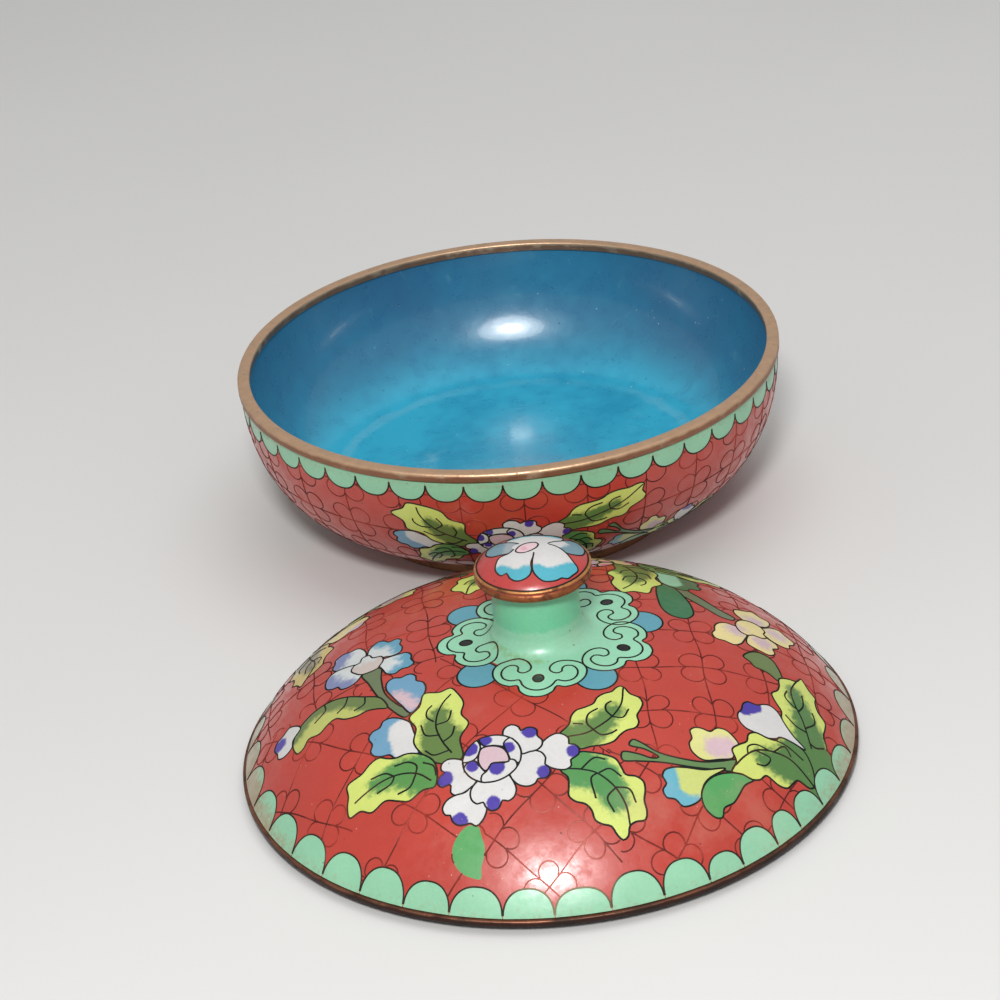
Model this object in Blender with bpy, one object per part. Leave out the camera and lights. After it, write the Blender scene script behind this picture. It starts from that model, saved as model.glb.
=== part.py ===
"""Cloisonne lidded bowl: an enamelled copper bowl on a foot ring, with its lid lifted off and set down in front.

Metres, +Z up. The origin lies on the surface that both pieces stand on, midway between their axes:
the bowl's axis is at +Y and the lid's at -Y. Every piece is turned about one of those two axes.
"""

import math

import bmesh
import bpy
from mathutils import Vector

# Driving dimensions
RIM_RADIUS = 0.0750          # the lip and the lid's edge have the same outer radius
AXIS_SPACING = 0.1340        # from the bowl's axis to the lid's
SEAM = 0.0003                # clearance left between pieces that touch
SEGMENTS = 64                # facets round the large turned pieces
KNOB_SEGMENTS = 48           # facets round the knob's cap and its band

# Bowl
BOWL_HEIGHT = 0.0460
BOWL_WALL = 0.0020           # copper sheet with enamel on both faces
BOWL_TOP_RADIUS = 0.0744     # outside of the wall, just under the lip
FLOOR_RADIUS = 0.0510        # where the wall turns into the dished floor
FLOOR_EDGE_HEIGHT = 0.0082   # underside of the floor there
FLOOR_DISH = 0.0013          # how much lower the middle of the floor lies
WALL_DROP_POWER = 2.2        # how long the wall stays upright below the lip
WALL_SPREAD_POWER = 1.9      # how fully the belly rounds into the floor
WALL_STEPS = 9
LIP_WIDTH = 0.0034
LIP_THICKNESS = 0.0024
LIP_ROUNDING = 0.0007
FOOT_OUTER_RADIUS = 0.0464
FOOT_THICKNESS = 0.0026
FOOT_SPLAY = 0.0010          # how much narrower the foot is at its top

# Lid
LID_WALL = 0.0018
EDGE_UNDERSIDE = 0.0020      # the flange holds the edge this far above the surface
EDGE_THICKNESS = 0.0014
EDGE_WIDTH = 0.0050
EDGE_ROUNDING = 0.0003
FLANGE_OUTER_RADIUS = 0.0712
FLANGE_THICKNESS = 0.0012
DOME_RISE = 0.0312
DOME_RADIUS_POWER = 3.036    # how flat the crown of the dome is
DOME_HEIGHT_POWER = 0.85     # how steeply it falls to the edge
DOME_EDGE_RADIUS = 0.0742
DOME_STEPS = 8
NECK_RADIUS = 0.01045
NECK_FLARE = 0.0045          # radius of the hollow curve between neck and dome
FLARE_STEPS = 3

# Knob
BAND_UNDERSIDE = 0.0495
BAND_HEIGHT = 0.0030
BAND_OUTER_RADIUS = 0.0140
CAP_EDGE_RADIUS = 0.0124
CROWN_RISE = 0.0039
CROWN_STEPS = 4

SHARP_ANGLE = math.radians(38)


def clear_scene():
    for obj in list(bpy.data.objects):
        bpy.data.objects.remove(obj, do_unlink=True)


def finish(name, color, roughness, metallic):
    material = bpy.data.materials.new(name)
    material.use_nodes = True
    shader = material.node_tree.nodes["Principled BSDF"]
    shader.inputs["Base Color"].default_value = (*color, 1.0)
    shader.inputs["Roughness"].default_value = roughness
    shader.inputs["Metallic"].default_value = metallic
    material.diffuse_color = (*color, 1.0)
    return material


def axis_at(name, y):
    """An empty that stands on the surface and carries the pieces turned about its own axis."""
    empty = bpy.data.objects.new(name, None)
    empty.location = (0.0, y, 0.0)
    bpy.context.scene.collection.objects.link(empty)
    return empty


def turned(name, profile, closed, segments, material, parent):
    """Spin a profile of (radius, height) points about the vertical axis of the parent.

    An open profile starts and ends on the axis; a closed one is the section of a ring.
    """
    bm = bmesh.new()
    points = [bm.verts.new(Vector((radius, 0.0, height))) for radius, height in profile]
    edges = [bm.edges.new(pair) for pair in zip(points, points[1:])]
    if closed:
        edges.append(bm.edges.new((points[-1], points[0])))
    bmesh.ops.spin(bm, geom=points + edges, axis=(0, 0, 1), cent=(0, 0, 0), steps=segments,
                   angle=math.tau, use_duplicate=False)
    bmesh.ops.remove_doubles(bm, verts=bm.verts, dist=0.00001)
    bmesh.ops.recalc_face_normals(bm, faces=bm.faces)
    mesh = bpy.data.meshes.new(name)
    bm.to_mesh(mesh)
    bm.free()
    mesh.materials.append(material)
    mesh.shade_smooth()
    mesh.set_sharp_from_angle(angle=SHARP_ANGLE)
    obj = bpy.data.objects.new(name, mesh)
    obj.parent = parent
    bpy.context.scene.collection.objects.link(obj)
    return obj


def offset(points, distance):
    """The same run of points moved sideways by a distance, to the left of its direction of travel."""
    moved = []
    for index, (radius, height) in enumerate(points):
        before = points[max(index - 1, 0)]
        after = points[min(index + 1, len(points) - 1)]
        along = Vector((after[0] - before[0], after[1] - before[1])).normalized()
        moved.append((radius - along.y * distance, height + along.x * distance))
    return moved


def arc(centre, radius, start, end, steps):
    """Points on a circular arc in the section, from one angle to another in degrees."""
    turns = [math.radians(start + (end - start) * step / steps) for step in range(steps + 1)]
    return [(centre[0] + radius * math.cos(a), centre[1] + radius * math.sin(a)) for a in turns]


# ---- the bowl -------------------------------------------------------------

def bowl_wall_top():
    return BOWL_HEIGHT - LIP_THICKNESS - SEAM


def bowl_outside():
    """The outer face of the wall, from just under the lip down to the edge of the floor."""
    points = []
    for step in range(WALL_STEPS + 1):
        drop = math.sin(math.pi / 2 * step / WALL_STEPS)
        spread = (1 - drop ** WALL_DROP_POWER) ** (1 / WALL_SPREAD_POWER)
        radius = FLOOR_RADIUS + (BOWL_TOP_RADIUS - FLOOR_RADIUS) * spread
        height = bowl_wall_top() - (bowl_wall_top() - FLOOR_EDGE_HEIGHT) * drop
        points.append((radius, height))
    return points


def floor_underside(radius):
    return FLOOR_EDGE_HEIGHT - FLOOR_DISH * (1 - (radius / FLOOR_RADIUS) ** 2)


def build_bowl_body(parent):
    outside = bowl_outside()
    inside = offset(outside, -BOWL_WALL)
    inside[0] = (inside[0][0], bowl_wall_top())
    crease = (FLOOR_RADIUS - BOWL_WALL / 2, FLOOR_EDGE_HEIGHT + BOWL_WALL)
    inside[-1] = crease
    halfway = FLOOR_RADIUS / 2
    profile = [(0.0, floor_underside(0.0) + BOWL_WALL), (halfway, floor_underside(halfway) + BOWL_WALL)]
    profile += inside[::-1] + outside
    profile += [(halfway, floor_underside(halfway)), (0.0, floor_underside(0.0))]
    enamel = finish("red_enamel_bowl", (0.56, 0.10, 0.07), 0.22, 0.0)
    turned("bowl_body", profile, False, SEGMENTS, enamel, parent)


def build_bowl_lip_ring(parent):
    outer = RIM_RADIUS
    inner = RIM_RADIUS - LIP_WIDTH
    top = BOWL_HEIGHT
    low = BOWL_HEIGHT - LIP_THICKNESS
    profile = [
        (inner + LIP_ROUNDING / 2, top),
        (outer - LIP_ROUNDING, top),
        (outer, top - LIP_ROUNDING),
        (outer, low),
        (inner, low),
        (inner, top - LIP_ROUNDING / 2),
    ]
    metal = finish("aged_brass_lip", (0.48, 0.30, 0.18), 0.42, 1.0)
    turned("bowl_lip_ring", profile, True, SEGMENTS, metal, parent)


def build_bowl_foot_ring(parent):
    top = floor_underside(FOOT_OUTER_RADIUS - FOOT_THICKNESS) - SEAM
    profile = [
        (FOOT_OUTER_RADIUS - FOOT_SPLAY, top),
        (FOOT_OUTER_RADIUS, 0.0),
        (FOOT_OUTER_RADIUS - FOOT_THICKNESS, 0.0),
        (FOOT_OUTER_RADIUS - FOOT_THICKNESS, top),
    ]
    metal = finish("aged_brass_foot", (0.46, 0.28, 0.16), 0.45, 1.0)
    turned("bowl_foot_ring", profile, True, SEGMENTS, metal, parent)


# ---- the lid --------------------------------------------------------------

def dome_height(radius):
    """Height of the dome's outer face above the surface the lid stands on."""
    fall = 1 - (radius / RIM_RADIUS) ** DOME_RADIUS_POWER
    return EDGE_UNDERSIDE + DOME_RISE * fall ** DOME_HEIGHT_POWER


def build_lid_dome(parent):
    flare_foot = NECK_RADIUS + NECK_FLARE
    outside = []
    for step in range(DOME_STEPS + 1):
        share = math.sin(math.pi / 2 * step / DOME_STEPS)
        radius = flare_foot + (DOME_EDGE_RADIUS - flare_foot) * share
        outside.append((radius, dome_height(radius)))
    inside = offset(outside, -LID_WALL)
    inside[-1] = (DOME_EDGE_RADIUS - LID_WALL, outside[-1][1])
    flare_centre = (flare_foot, dome_height(flare_foot) + NECK_FLARE)
    flare = arc(flare_centre, NECK_FLARE, 180, 270, FLARE_STEPS)
    neck_top = BAND_UNDERSIDE - SEAM
    profile = [(0.0, neck_top), (NECK_RADIUS, neck_top)] + flare + outside[1:]
    profile += inside[:0:-1] + [(0.0, dome_height(0.0) - LID_WALL)]
    enamel = finish("red_enamel_lid", (0.58, 0.11, 0.07), 0.22, 0.0)
    turned("lid_dome", profile, False, SEGMENTS, enamel, parent)


def build_lid_edge_ring(parent):
    """The bare edge of the lid; its flange drops inside the bowl's mouth when the lid is on."""
    top = dome_height(DOME_EDGE_RADIUS) - SEAM
    flange_inner = FLANGE_OUTER_RADIUS - FLANGE_THICKNESS
    profile = [
        (RIM_RADIUS - EDGE_WIDTH, top),
        (RIM_RADIUS - EDGE_ROUNDING, top),
        (RIM_RADIUS, top - EDGE_ROUNDING),
        (RIM_RADIUS, EDGE_UNDERSIDE),
        (FLANGE_OUTER_RADIUS, EDGE_UNDERSIDE),
        (FLANGE_OUTER_RADIUS, 0.0),
        (flange_inner, 0.0),
    ]
    metal = finish("dark_copper_edge", (0.30, 0.13, 0.08), 0.40, 1.0)
    turned("lid_edge_ring", profile, True, SEGMENTS, metal, parent)


def build_knob_cap(parent):
    rim = BAND_UNDERSIDE + BAND_HEIGHT
    profile = []
    for step in range(CROWN_STEPS + 1):
        radius = CAP_EDGE_RADIUS * step / CROWN_STEPS
        height = rim + CROWN_RISE * (1 - (radius / CAP_EDGE_RADIUS) ** 2)
        profile.append((radius, height))
    profile += [(CAP_EDGE_RADIUS, BAND_UNDERSIDE), (0.0, BAND_UNDERSIDE)]
    enamel = finish("white_and_red_enamel_cap", (0.62, 0.20, 0.16), 0.20, 0.0)
    turned("knob_cap", profile, False, KNOB_SEGMENTS, enamel, parent)


def build_knob_cap_band(parent):
    """A thin upper bead, a groove and a wider lower bead, soldered round the cap's edge."""
    low = BAND_UNDERSIDE
    top = BAND_UNDERSIDE + BAND_HEIGHT
    outer = BAND_OUTER_RADIUS
    inner = CAP_EDGE_RADIUS + SEAM
    groove = low + BAND_HEIGHT * 0.66
    profile = [
        (inner, top),
        (outer - 0.0007, top),
        (outer - 0.0003, groove + 0.0003),
        (outer - 0.0006, groove),
        (outer, groove - 0.0004),
        (outer, low + 0.0006),
        (outer - 0.0006, low),
        (inner, low),
    ]
    metal = finish("orange_copper_band", (0.55, 0.24, 0.09), 0.32, 1.0)
    turned("knob_cap_band", profile, True, KNOB_SEGMENTS, metal, parent)


clear_scene()
bowl_axis = axis_at("bowl_axis", AXIS_SPACING / 2)
lid_axis = axis_at("lid_axis", -AXIS_SPACING / 2)
build_bowl_body(bowl_axis)
build_bowl_lip_ring(bowl_axis)
build_bowl_foot_ring(bowl_axis)
build_lid_dome(lid_axis)
build_lid_edge_ring(lid_axis)
build_knob_cap(lid_axis)
build_knob_cap_band(lid_axis)
bpy.context.view_layer.update()
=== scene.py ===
import math
import bmesh
import bpy
import numpy as np
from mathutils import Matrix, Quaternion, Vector
from mathutils.geometry import delaunay_2d_cdt
from mathutils.kdtree import KDTree


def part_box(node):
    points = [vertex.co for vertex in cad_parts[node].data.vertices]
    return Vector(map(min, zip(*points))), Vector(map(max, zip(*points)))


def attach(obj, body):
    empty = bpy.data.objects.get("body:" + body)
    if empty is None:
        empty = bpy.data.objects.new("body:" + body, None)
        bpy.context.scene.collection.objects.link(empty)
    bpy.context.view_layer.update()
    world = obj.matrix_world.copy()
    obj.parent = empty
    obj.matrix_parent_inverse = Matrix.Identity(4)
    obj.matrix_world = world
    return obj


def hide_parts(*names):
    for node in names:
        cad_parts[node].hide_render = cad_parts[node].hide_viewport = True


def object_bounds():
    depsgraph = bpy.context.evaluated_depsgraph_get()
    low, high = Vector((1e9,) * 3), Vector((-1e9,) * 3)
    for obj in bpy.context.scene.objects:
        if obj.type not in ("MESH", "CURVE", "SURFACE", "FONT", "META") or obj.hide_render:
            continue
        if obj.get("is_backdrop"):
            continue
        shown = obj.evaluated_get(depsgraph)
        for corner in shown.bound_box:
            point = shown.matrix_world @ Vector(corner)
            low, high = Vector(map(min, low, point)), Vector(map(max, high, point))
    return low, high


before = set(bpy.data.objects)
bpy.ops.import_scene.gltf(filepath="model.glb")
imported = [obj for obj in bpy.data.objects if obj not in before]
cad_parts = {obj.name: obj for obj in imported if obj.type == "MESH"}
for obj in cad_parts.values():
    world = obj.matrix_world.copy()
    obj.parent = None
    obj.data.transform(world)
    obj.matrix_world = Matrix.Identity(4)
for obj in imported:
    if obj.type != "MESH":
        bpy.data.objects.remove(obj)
cad_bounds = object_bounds()

# ---- The lid's enamelled dome and neck ------------------------------------------------------
# A spun copper dome that flares into a tubular neck. Its outer face carries glass enamel, laid
# cell by cell between brass wires: a red ground with a peony spray twice round, a ruyi collar
# about the neck and scallops along the edge. The enamel is ground flush and then polished.

MM = 0.001


def turned_box(box):
    """A turned CAD piece's radius, the place of its axis, its foot and its top, in millimetres."""
    low, high = box
    return [size / MM for size in ((high.x - low.x) / 2, (high.y + low.y) / 2, low.z, high.z)]


RIM, LID_Y, _, EDGE_TOP = turned_box(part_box("lid_edge_ring"))
DOME_EDGE, _, _, NECK_TOP = turned_box(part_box("lid_dome"))
DOME_FOOT = 2.0
DOME_RISE = 31.2
DOME_ROUNDNESS = (3.036, 0.85)
NECK = 10.45
FLARE = 4.5
NECK_DRAWN_TO = 2.0
SAMPLE_STEP = 0.65
HALVINGS = 5
PLAIN_SPACING = 2.2
GRADED_SPACING = 0.85
CLEARANCE = 0.38
GRID_MARGIN = 0.5
WELD = 1e-4
TINY = 1e-9
SLOPE_STEP = 0.002
NECK_STEPS = 6
FLARE_STEPS = 8
RING_SIDES = 96
EDGE_SIDES = 256
UV_INNER = 0.06
UV_OUTER = 0.49

RED = (177, 58, 45)
CELADON = (142, 200, 166)
NECK_GREEN = (110, 192, 150)
WHITE = (201, 199, 196)
VIOLET = (66, 50, 147)
PINK = (198, 170, 176)
LEAF_EDGE = (196, 207, 106)
LEAF_HEART = (78, 118, 60)
GREEN = (78, 150, 84)
DARK_GREEN = (46, 108, 66)
OLIVE = (98, 116, 62)
OCHRE = (194, 170, 78)
TWIG = (92, 124, 74)
STEM = (98, 110, 76)
YELLOW = (220, 202, 138)
BLUE = (102, 148, 176)
BUD_YELLOW = (190, 198, 112)
BUD_BLUE = (94, 164, 182)
LAVENDER = (118, 126, 164)
TEAL = (88, 146, 170)
GREY_WHITE = (198, 202, 200)
RUYI_BLUE = (87, 150, 166)
LAPPET = (138, 193, 157)
GRIME = (154, 138, 108)
STAIN = (124, 164, 104)
PALE_YELLOW = (208, 206, 130)
CURVED_LEAF_GREEN = (178, 182, 96)
BLOSSOM_EYE = (192, 178, 170)
BACK_VEIN = (106, 98, 54)
BACK_TIP = (206, 120, 150)
NEAR_BLACK = (12, 13, 10)


def linear(colour):
    """An 8-bit screen colour as the linear values that shaders take."""
    shares = [channel / 255 for channel in colour]
    return [((s + 0.055) / 1.055) ** 2.4 if s > 0.04045 else s / 12.92 for s in shares]


def dome_height(radius):
    """Height of the dome's outer face at a radius, both in millimetres."""
    fall = 1 - (radius / RIM) ** DOME_ROUNDNESS[0]
    return DOME_FOOT + DOME_RISE * fall ** DOME_ROUNDNESS[1]


def lid_section(reach):
    """(radius, height) on the lid for a radius in the drawing: dome, then flare, then up the neck."""
    flare_foot = NECK + FLARE
    foot_height = dome_height(flare_foot)
    across = np.clip((flare_foot - reach) / FLARE, 0, 1)
    flare = foot_height + FLARE * (1 - np.sqrt(1 - across ** 2))
    height = np.where(reach >= flare_foot, dome_height(np.maximum(reach, flare_foot)), flare)
    climb = np.clip((NECK - reach) / (NECK - NECK_DRAWN_TO), 0, 1)
    return np.maximum(reach, NECK), height + climb * (NECK_TOP - foot_height - FLARE)


def round_points(turns, half_width, half_height=None):
    """Points on a circle, or on an oval, about the origin, in the directions of turns."""
    up = half_width if half_height is None else half_height
    return np.column_stack([half_width * np.cos(turns), up * np.sin(turns)])


def smooth_line(points, closed=False):
    """A smooth curve through the points, sampled about every SAMPLE_STEP millimetres."""
    knots = np.array(points, float)
    if len(knots) == 1:
        return knots
    before, after = 2 * knots[:1] - knots[1:2], 2 * knots[-1:] - knots[-2:-1]
    if closed:
        before, after = knots[-1:], knots[:2]
    knots_on = np.vstack([before, knots, after])
    line = []
    for a, b, c, d in zip(knots_on, knots_on[1:], knots_on[2:], knots_on[3:]):
        ab, bc, cd = (math.sqrt(np.linalg.norm(q - p)) for p, q in ((a, b), (b, c), (c, d)))
        leave = bc * ((b - a) / ab - (c - a) / (ab + bc) + (c - b) / bc)
        arrive = bc * ((c - b) / bc - (d - b) / (bc + cd) + (d - c) / cd)
        count = max(2, round(bc * bc / SAMPLE_STEP))
        t = (np.arange(count) / count)[:, None]
        line.append(
            (2 * t ** 3 - 3 * t ** 2 + 1) * b + (t ** 3 - 2 * t ** 2 + t) * leave
            + (3 * t ** 2 - 2 * t ** 3) * c + (t ** 3 - t ** 2) * arrive
        )
    if not closed:
        line.append(knots[-1:])
    return np.vstack(line)


def inside(points, outline):
    """Which points lie inside a closed outline."""
    x, y = points[:, :1], points[:, 1:]
    ax, ay = outline[:, 0], outline[:, 1]
    bx, by = np.roll(ax, -1), np.roll(ay, -1)
    spans = (ay > y) != (by > y)
    with np.errstate(divide="ignore", invalid="ignore"):
        crossing = ax + (y - ay) * (bx - ax) / (by - ay)
    return (spans & (x < crossing)).sum(1) % 2 == 1


def seen_runs(line, closed, hidden):
    """The stretches of a line outside a hidden area, each ended on that area's border."""
    covered = hidden(line)
    if covered.all():
        return []
    if not covered.any():
        return [np.vstack([line, line[:1]]) if closed else line]
    if closed:
        start = int(np.argmax(covered))
        line, covered = np.roll(line, -start, 0), np.roll(covered, -start)
        line, covered = np.vstack([line, line[:1]]), np.append(covered, covered[0])

    def border(under, seen):
        for _ in range(HALVINGS):
            middle = (under + seen) / 2
            under, seen = (middle, seen) if hidden(middle[None])[0] else (under, middle)
        return [under]

    runs = []
    shown = np.flatnonzero(~covered)
    for stretch in np.split(shown, np.flatnonzero(np.diff(shown) > 1) + 1):
        first, last = stretch[0], stretch[-1]
        run = list(line[first:last + 1])
        if first > 0:
            run = border(line[first - 1], line[first]) + run
        if last + 1 < len(line):
            run = run + border(line[last + 1], line[last])
        if len(run) > 1:
            runs.append(np.array(run))
    return runs


def turned_by(degrees, centre=(0, 0), grow=1.0):
    """Turns drawn points about the axis, enlarges them and then moves them to a centre."""
    turn = math.radians(degrees)
    matrix = np.array([[math.cos(turn), math.sin(turn)], [-math.sin(turn), math.cos(turn)]])
    return lambda points: grow * points @ matrix + np.array(centre)


class Drawing:
    """Enamel cells in the order they are laid, each over the last, and the wires round them.

    Its points are millimetres in the piece's plan: x to the right, y away from the front. It knows
    the turned face that it is for: its section, the place of its axis, the side of the section
    that it lies on and the radius of the piece in plan.
    """

    def __init__(self, innermost, outermost, section, axis_y, side=1, plan_radius=RIM):
        self.innermost, self.outermost = innermost, outermost
        self.section, self.axis_y, self.side = section, axis_y, side
        self.plan_radius = plan_radius
        self.move_to()
        self.cells = []
        self.borders = []
        self.wires = []
        self.scallops = []

    def move_to(self, place=turned_by(0), grow=1.0):
        """Where the next cells go, and how much larger their hearts are drawn."""
        self.place = place
        self.grow = grow

    def lay(self, points, field, heart=None, spine=((0, 0),), reach=2.0, wired=True, soft=1.5):
        """Adds a cell. Its heart colour lies within reach of the spine; a pair is start and end."""
        outline = self.place(smooth_line(points, closed=True))
        self.cells.append({
            "outline": outline,
            "low": outline.min(0),
            "high": outline.max(0),
            "field": linear(field),
            "heart": linear(heart or field),
            "spine": self.place(smooth_line(spine)) if heart else None,
            "reach": np.array(reach if np.ndim(reach) else (reach, reach)) * self.grow,
            "soft": soft * self.grow,
        })
        self.borders.append((outline, True, len(self.cells)))
        if wired:
            self.wires.append(self.borders[-1])

    def wire(self, points, closed=False):
        self.wires.append((self.place(smooth_line(points, closed)), closed, len(self.cells)))

    def top_cell(self, points, first=0):
        """The number of the cell that covers each point, or -1 on the ground."""
        top = np.full(len(points), -1)
        for number in range(first, len(self.cells)):
            cell = self.cells[number]
            near = np.flatnonzero(((points > cell["low"]) & (points < cell["high"])).all(1))
            if len(near):
                top[near[inside(points[near], cell["outline"])]] = number
        return top

    def hidden(self, first=0):
        """A test for points that a cell covers, or that are off the drawing."""
        def test(points):
            reach = np.hypot(points[:, 0], points[:, 1])
            off = (reach > self.outermost) | (reach < self.innermost)
            return off | (self.top_cell(points, first) >= 0)
        return test

    def runs(self, lines):
        return [run for line, closed, first in lines for run in seen_runs(line, closed, self.hidden(first))]


PEONY = [
    ([(1.5, -39.2), (3.2, -39.8), (4.1, -41), (4, -42.4), (5.2, -42.6), (6.2, -43.8), (5.9, -45.3),
      (4.7, -46.1), (4, -46.6), (4, -48), (2.8, -48.8), (1, -48.7), (-0.8, -48), (-2, -47),
      (-4.5, -45.5), (-4.5, -43), (-1.9, -41.2), (-0.5, -40)], (4.9, -44.4), 1.7),
    ([(-20.5, -42.2), (-22, -41.4), (-24, -41), (-25.4, -41.8), (-25.5, -43.3), (-24.8, -44),
      (-26.2, -44.8), (-26.6, -46.2), (-25.6, -47.3), (-24, -47.2), (-23.6, -47.6), (-23.8, -49),
      (-22.8, -50), (-21, -50), (-19, -49.2), (-17.9, -48.4), (-17, -44)], (-24.8, -45.6), 1.9),
    ([(-18.9, -49.2), (-20.5, -50), (-23, -50), (-25, -50.6), (-26, -52), (-25.4, -53.4),
      (-24.3, -53.8), (-24, -55), (-22.8, -56.2), (-21, -56.6), (-20, -56.6), (-18.6, -57.5),
      (-17.2, -56.8), (-16.2, -55.5), (-15.8, -54), (-16, -52), (-16, -50)], (-22.5, -55.9), 2.1),
    ([(-18, -48.6), (-19.3, -50.2), (-19.2, -52), (-18, -53.2), (-16.6, -53.2), (-16.2, -54.2),
      (-15, -55.3), (-13.3, -55.2), (-12.2, -53.7), (-11, -54.1), (-9.5, -53.4), (-8.9, -51.8),
      (-9.4, -50), (-10, -48.8), (-12, -46)], (-14.3, -54), 1.7),
    ([(-7, -43.7), (-4.6, -43.2), (-2.6, -43.8), (-1.6, -45.5), (-1.9, -47), (-1, -48), (-1, -49.5),
      (-2.2, -50.4), (-3.8, -50.3), (-4.4, -51.2), (-6, -51.7), (-8, -51.2), (-9.3, -50),
      (-10, -48.6), (-10, -45)], (-2.4, -48.9), 1.6),
    ([(-10.8, -37.8), (-10.3, -35.8), (-8.6, -35), (-7, -36), (-6.6, -37.2), (-5.5, -36.6),
      (-4, -36.6), (-2.9, -37.6), (-3, -39.2), (-2, -40.6), (-2.1, -42), (-3.4, -43.2), (-5, -43.4),
      (-7, -43.7), (-9, -42)], (-4.6, -37.8), 1.9),
]
PEONY_MIDDLE = (-13.75, -43.2)
PEONY_OVAL = (6.75, 6.0)
PEONY_HEART = [
    (176, 118, [(-16.2, -39.4), (-16.3, -40.6), (-17.4, -42.6), (-18.8, -43.1)], (-18.6, -39.8), 1.9),
    (112, -6, [(-9, -42), (-10.8, -41), (-13.2, -40.1), (-15.3, -39.8)], (-15, -38.2), 1.7),
    (48, -25, [(-9.4, -45), (-10, -43.3), (-10.6, -41.4), (-10.8, -40)], (-9.9, -41.4), 1.6),
    (250, 192, [(-19.2, -43.1), (-17.7, -43.2), (-16.8, -44.6), (-15.6, -46.6)], (-18.3, -44.2), 1.6),
    (325, 245, [(-16.4, -47.2), (-15, -46.2), (-14.8, -45), (-13.5, -44.6), (-12, -44.9), (-11, -45.2),
                (-9.8, -44.6), (-8.6, -45)], (-12.8, -45.9), 1.9),
]
PEONY_CENTRE = [(-16.2, -40.6), (-15.2, -40.1), (-13, -40.3), (-11, -41.4), (-10, -43.4), (-10, -45),
                (-12, -44.9), (-14, -44.8), (-14.9, -46), (-15.6, -46.2), (-16.9, -43.8)]

UPPER_LEFT_LEAF = {
    "outline": [(-20.5, -41.5), (-20.6, -36), (-18.4, -32), (-19.9, -28.6), (-19.2, -25), (-20.5, -21),
                (-22, -18.7), (-24.5, -19.4), (-28.3, -18.7), (-29.6, -22.8), (-32.1, -25.5),
                (-30.7, -29.5), (-31.4, -33.5), (-29.2, -38), (-25.5, -41.5)],
    "midrib": [(-22.8, -39.5), (-24.6, -36), (-26, -31), (-25.5, -27), (-24, -23.5), (-22, -21)],
    "veins": [[(-26.4, -29), (-28, -27), (-27.8, -24.8), (-26.6, -23.5)],
              [(-25.9, -30.2), (-23.2, -29.8), (-22.6, -28.5), (-22.2, -26.7)],
              [(-25.2, -33.6), (-28.5, -32.5), (-29.5, -29)],
              [(-24.6, -35.8), (-22.5, -34.5), (-21.7, -32)],
              [(-23.4, -38.6), (-27, -38.7), (-28.9, -36.8)]],
    "heart": [(-23.4, -40), (-25, -35.5), (-25.8, -31), (-25, -27)],
    "reach": (6.5, 2.2),
    "shade": (92, 118, 58),
}
LEFT_LEAF = {
    "outline": [(-26.5, -44), (-27.3, -46.5), (-30, -46.3), (-33.5, -47.4), (-36, -46.3), (-39, -44.9),
                (-42.3, -45.7), (-45, -44), (-47.6, -43.9), (-48, -41.5), (-47.6, -39.2), (-47.7, -36.5),
                (-44, -35.7), (-42, -34.3), (-39.8, -33.8), (-38, -34.9), (-36, -35.8), (-33, -35.9),
                (-30, -37.3), (-28, -39), (-26.8, -41)],
    "midrib": [(-28, -44.8), (-31, -42), (-35, -40.4), (-39, -40.1), (-43, -40.7), (-46.2, -41.5)],
    "veins": [[(-31.6, -42.2), (-31.1, -40), (-33, -38.2), (-36.3, -37.8)],
              [(-31.6, -42.2), (-33, -44.4), (-36, -44.8)],
              [(-36.5, -40.3), (-38.5, -38.6), (-42, -38.2)],
              [(-36.5, -40.3), (-37.2, -41.6), (-40.8, -42.3)],
              [(-29.6, -39.7), (-27.2, -41.5), (-26.8, -44)]],
    "heart": [(-27, -43), (-30, -42), (-34.5, -40.2), (-41, -40)],
    "reach": (5.6, 1.7),
    "shade": (81, 135, 68),
}
UPPER_RIGHT_LEAF = {
    "outline": [(1, -40.5), (2.2, -39.2), (4.5, -36.8), (5.2, -34.4), (6.5, -32.6), (8.5, -31.8),
                (10.7, -30.6), (11.6, -28.8), (13.2, -27.5), (15.3, -26.7), (16.4, -25.4), (17.4, -24.9),
                (18.3, -25.5), (19.3, -27.5), (21.4, -28.9), (22, -30.7), (21.2, -32.8), (20.3, -34.6),
                (20.5, -36.6), (19.6, -38.2), (17.5, -39), (15.8, -40.4), (14.4, -42), (12, -43),
                (9, -43.4), (6.2, -43.9)],
    "midrib": [(3.8, -40.4), (8, -39.7), (11, -38), (14.5, -35), (17, -31), (18, -25.6)],
    "veins": [[(9.8, -38.6), (8.6, -36.8), (9.2, -34), (11.5, -32.3)],
              [(9.8, -38.7), (11.6, -40.3), (14, -39.8), (15.3, -38.9)],
              [(14.6, -35), (13.3, -32.8), (13.6, -31), (14.9, -30)],
              [(14.6, -35), (17, -35.2), (18.6, -32.6)],
              [(5.4, -36.6), (7.8, -37)]],
    "heart": [(2, -41.5), (6.5, -40.6), (11, -38), (15.4, -33)],
    "reach": (4.6, 2.1),
    "shade": (87, 122, 60),
}
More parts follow.
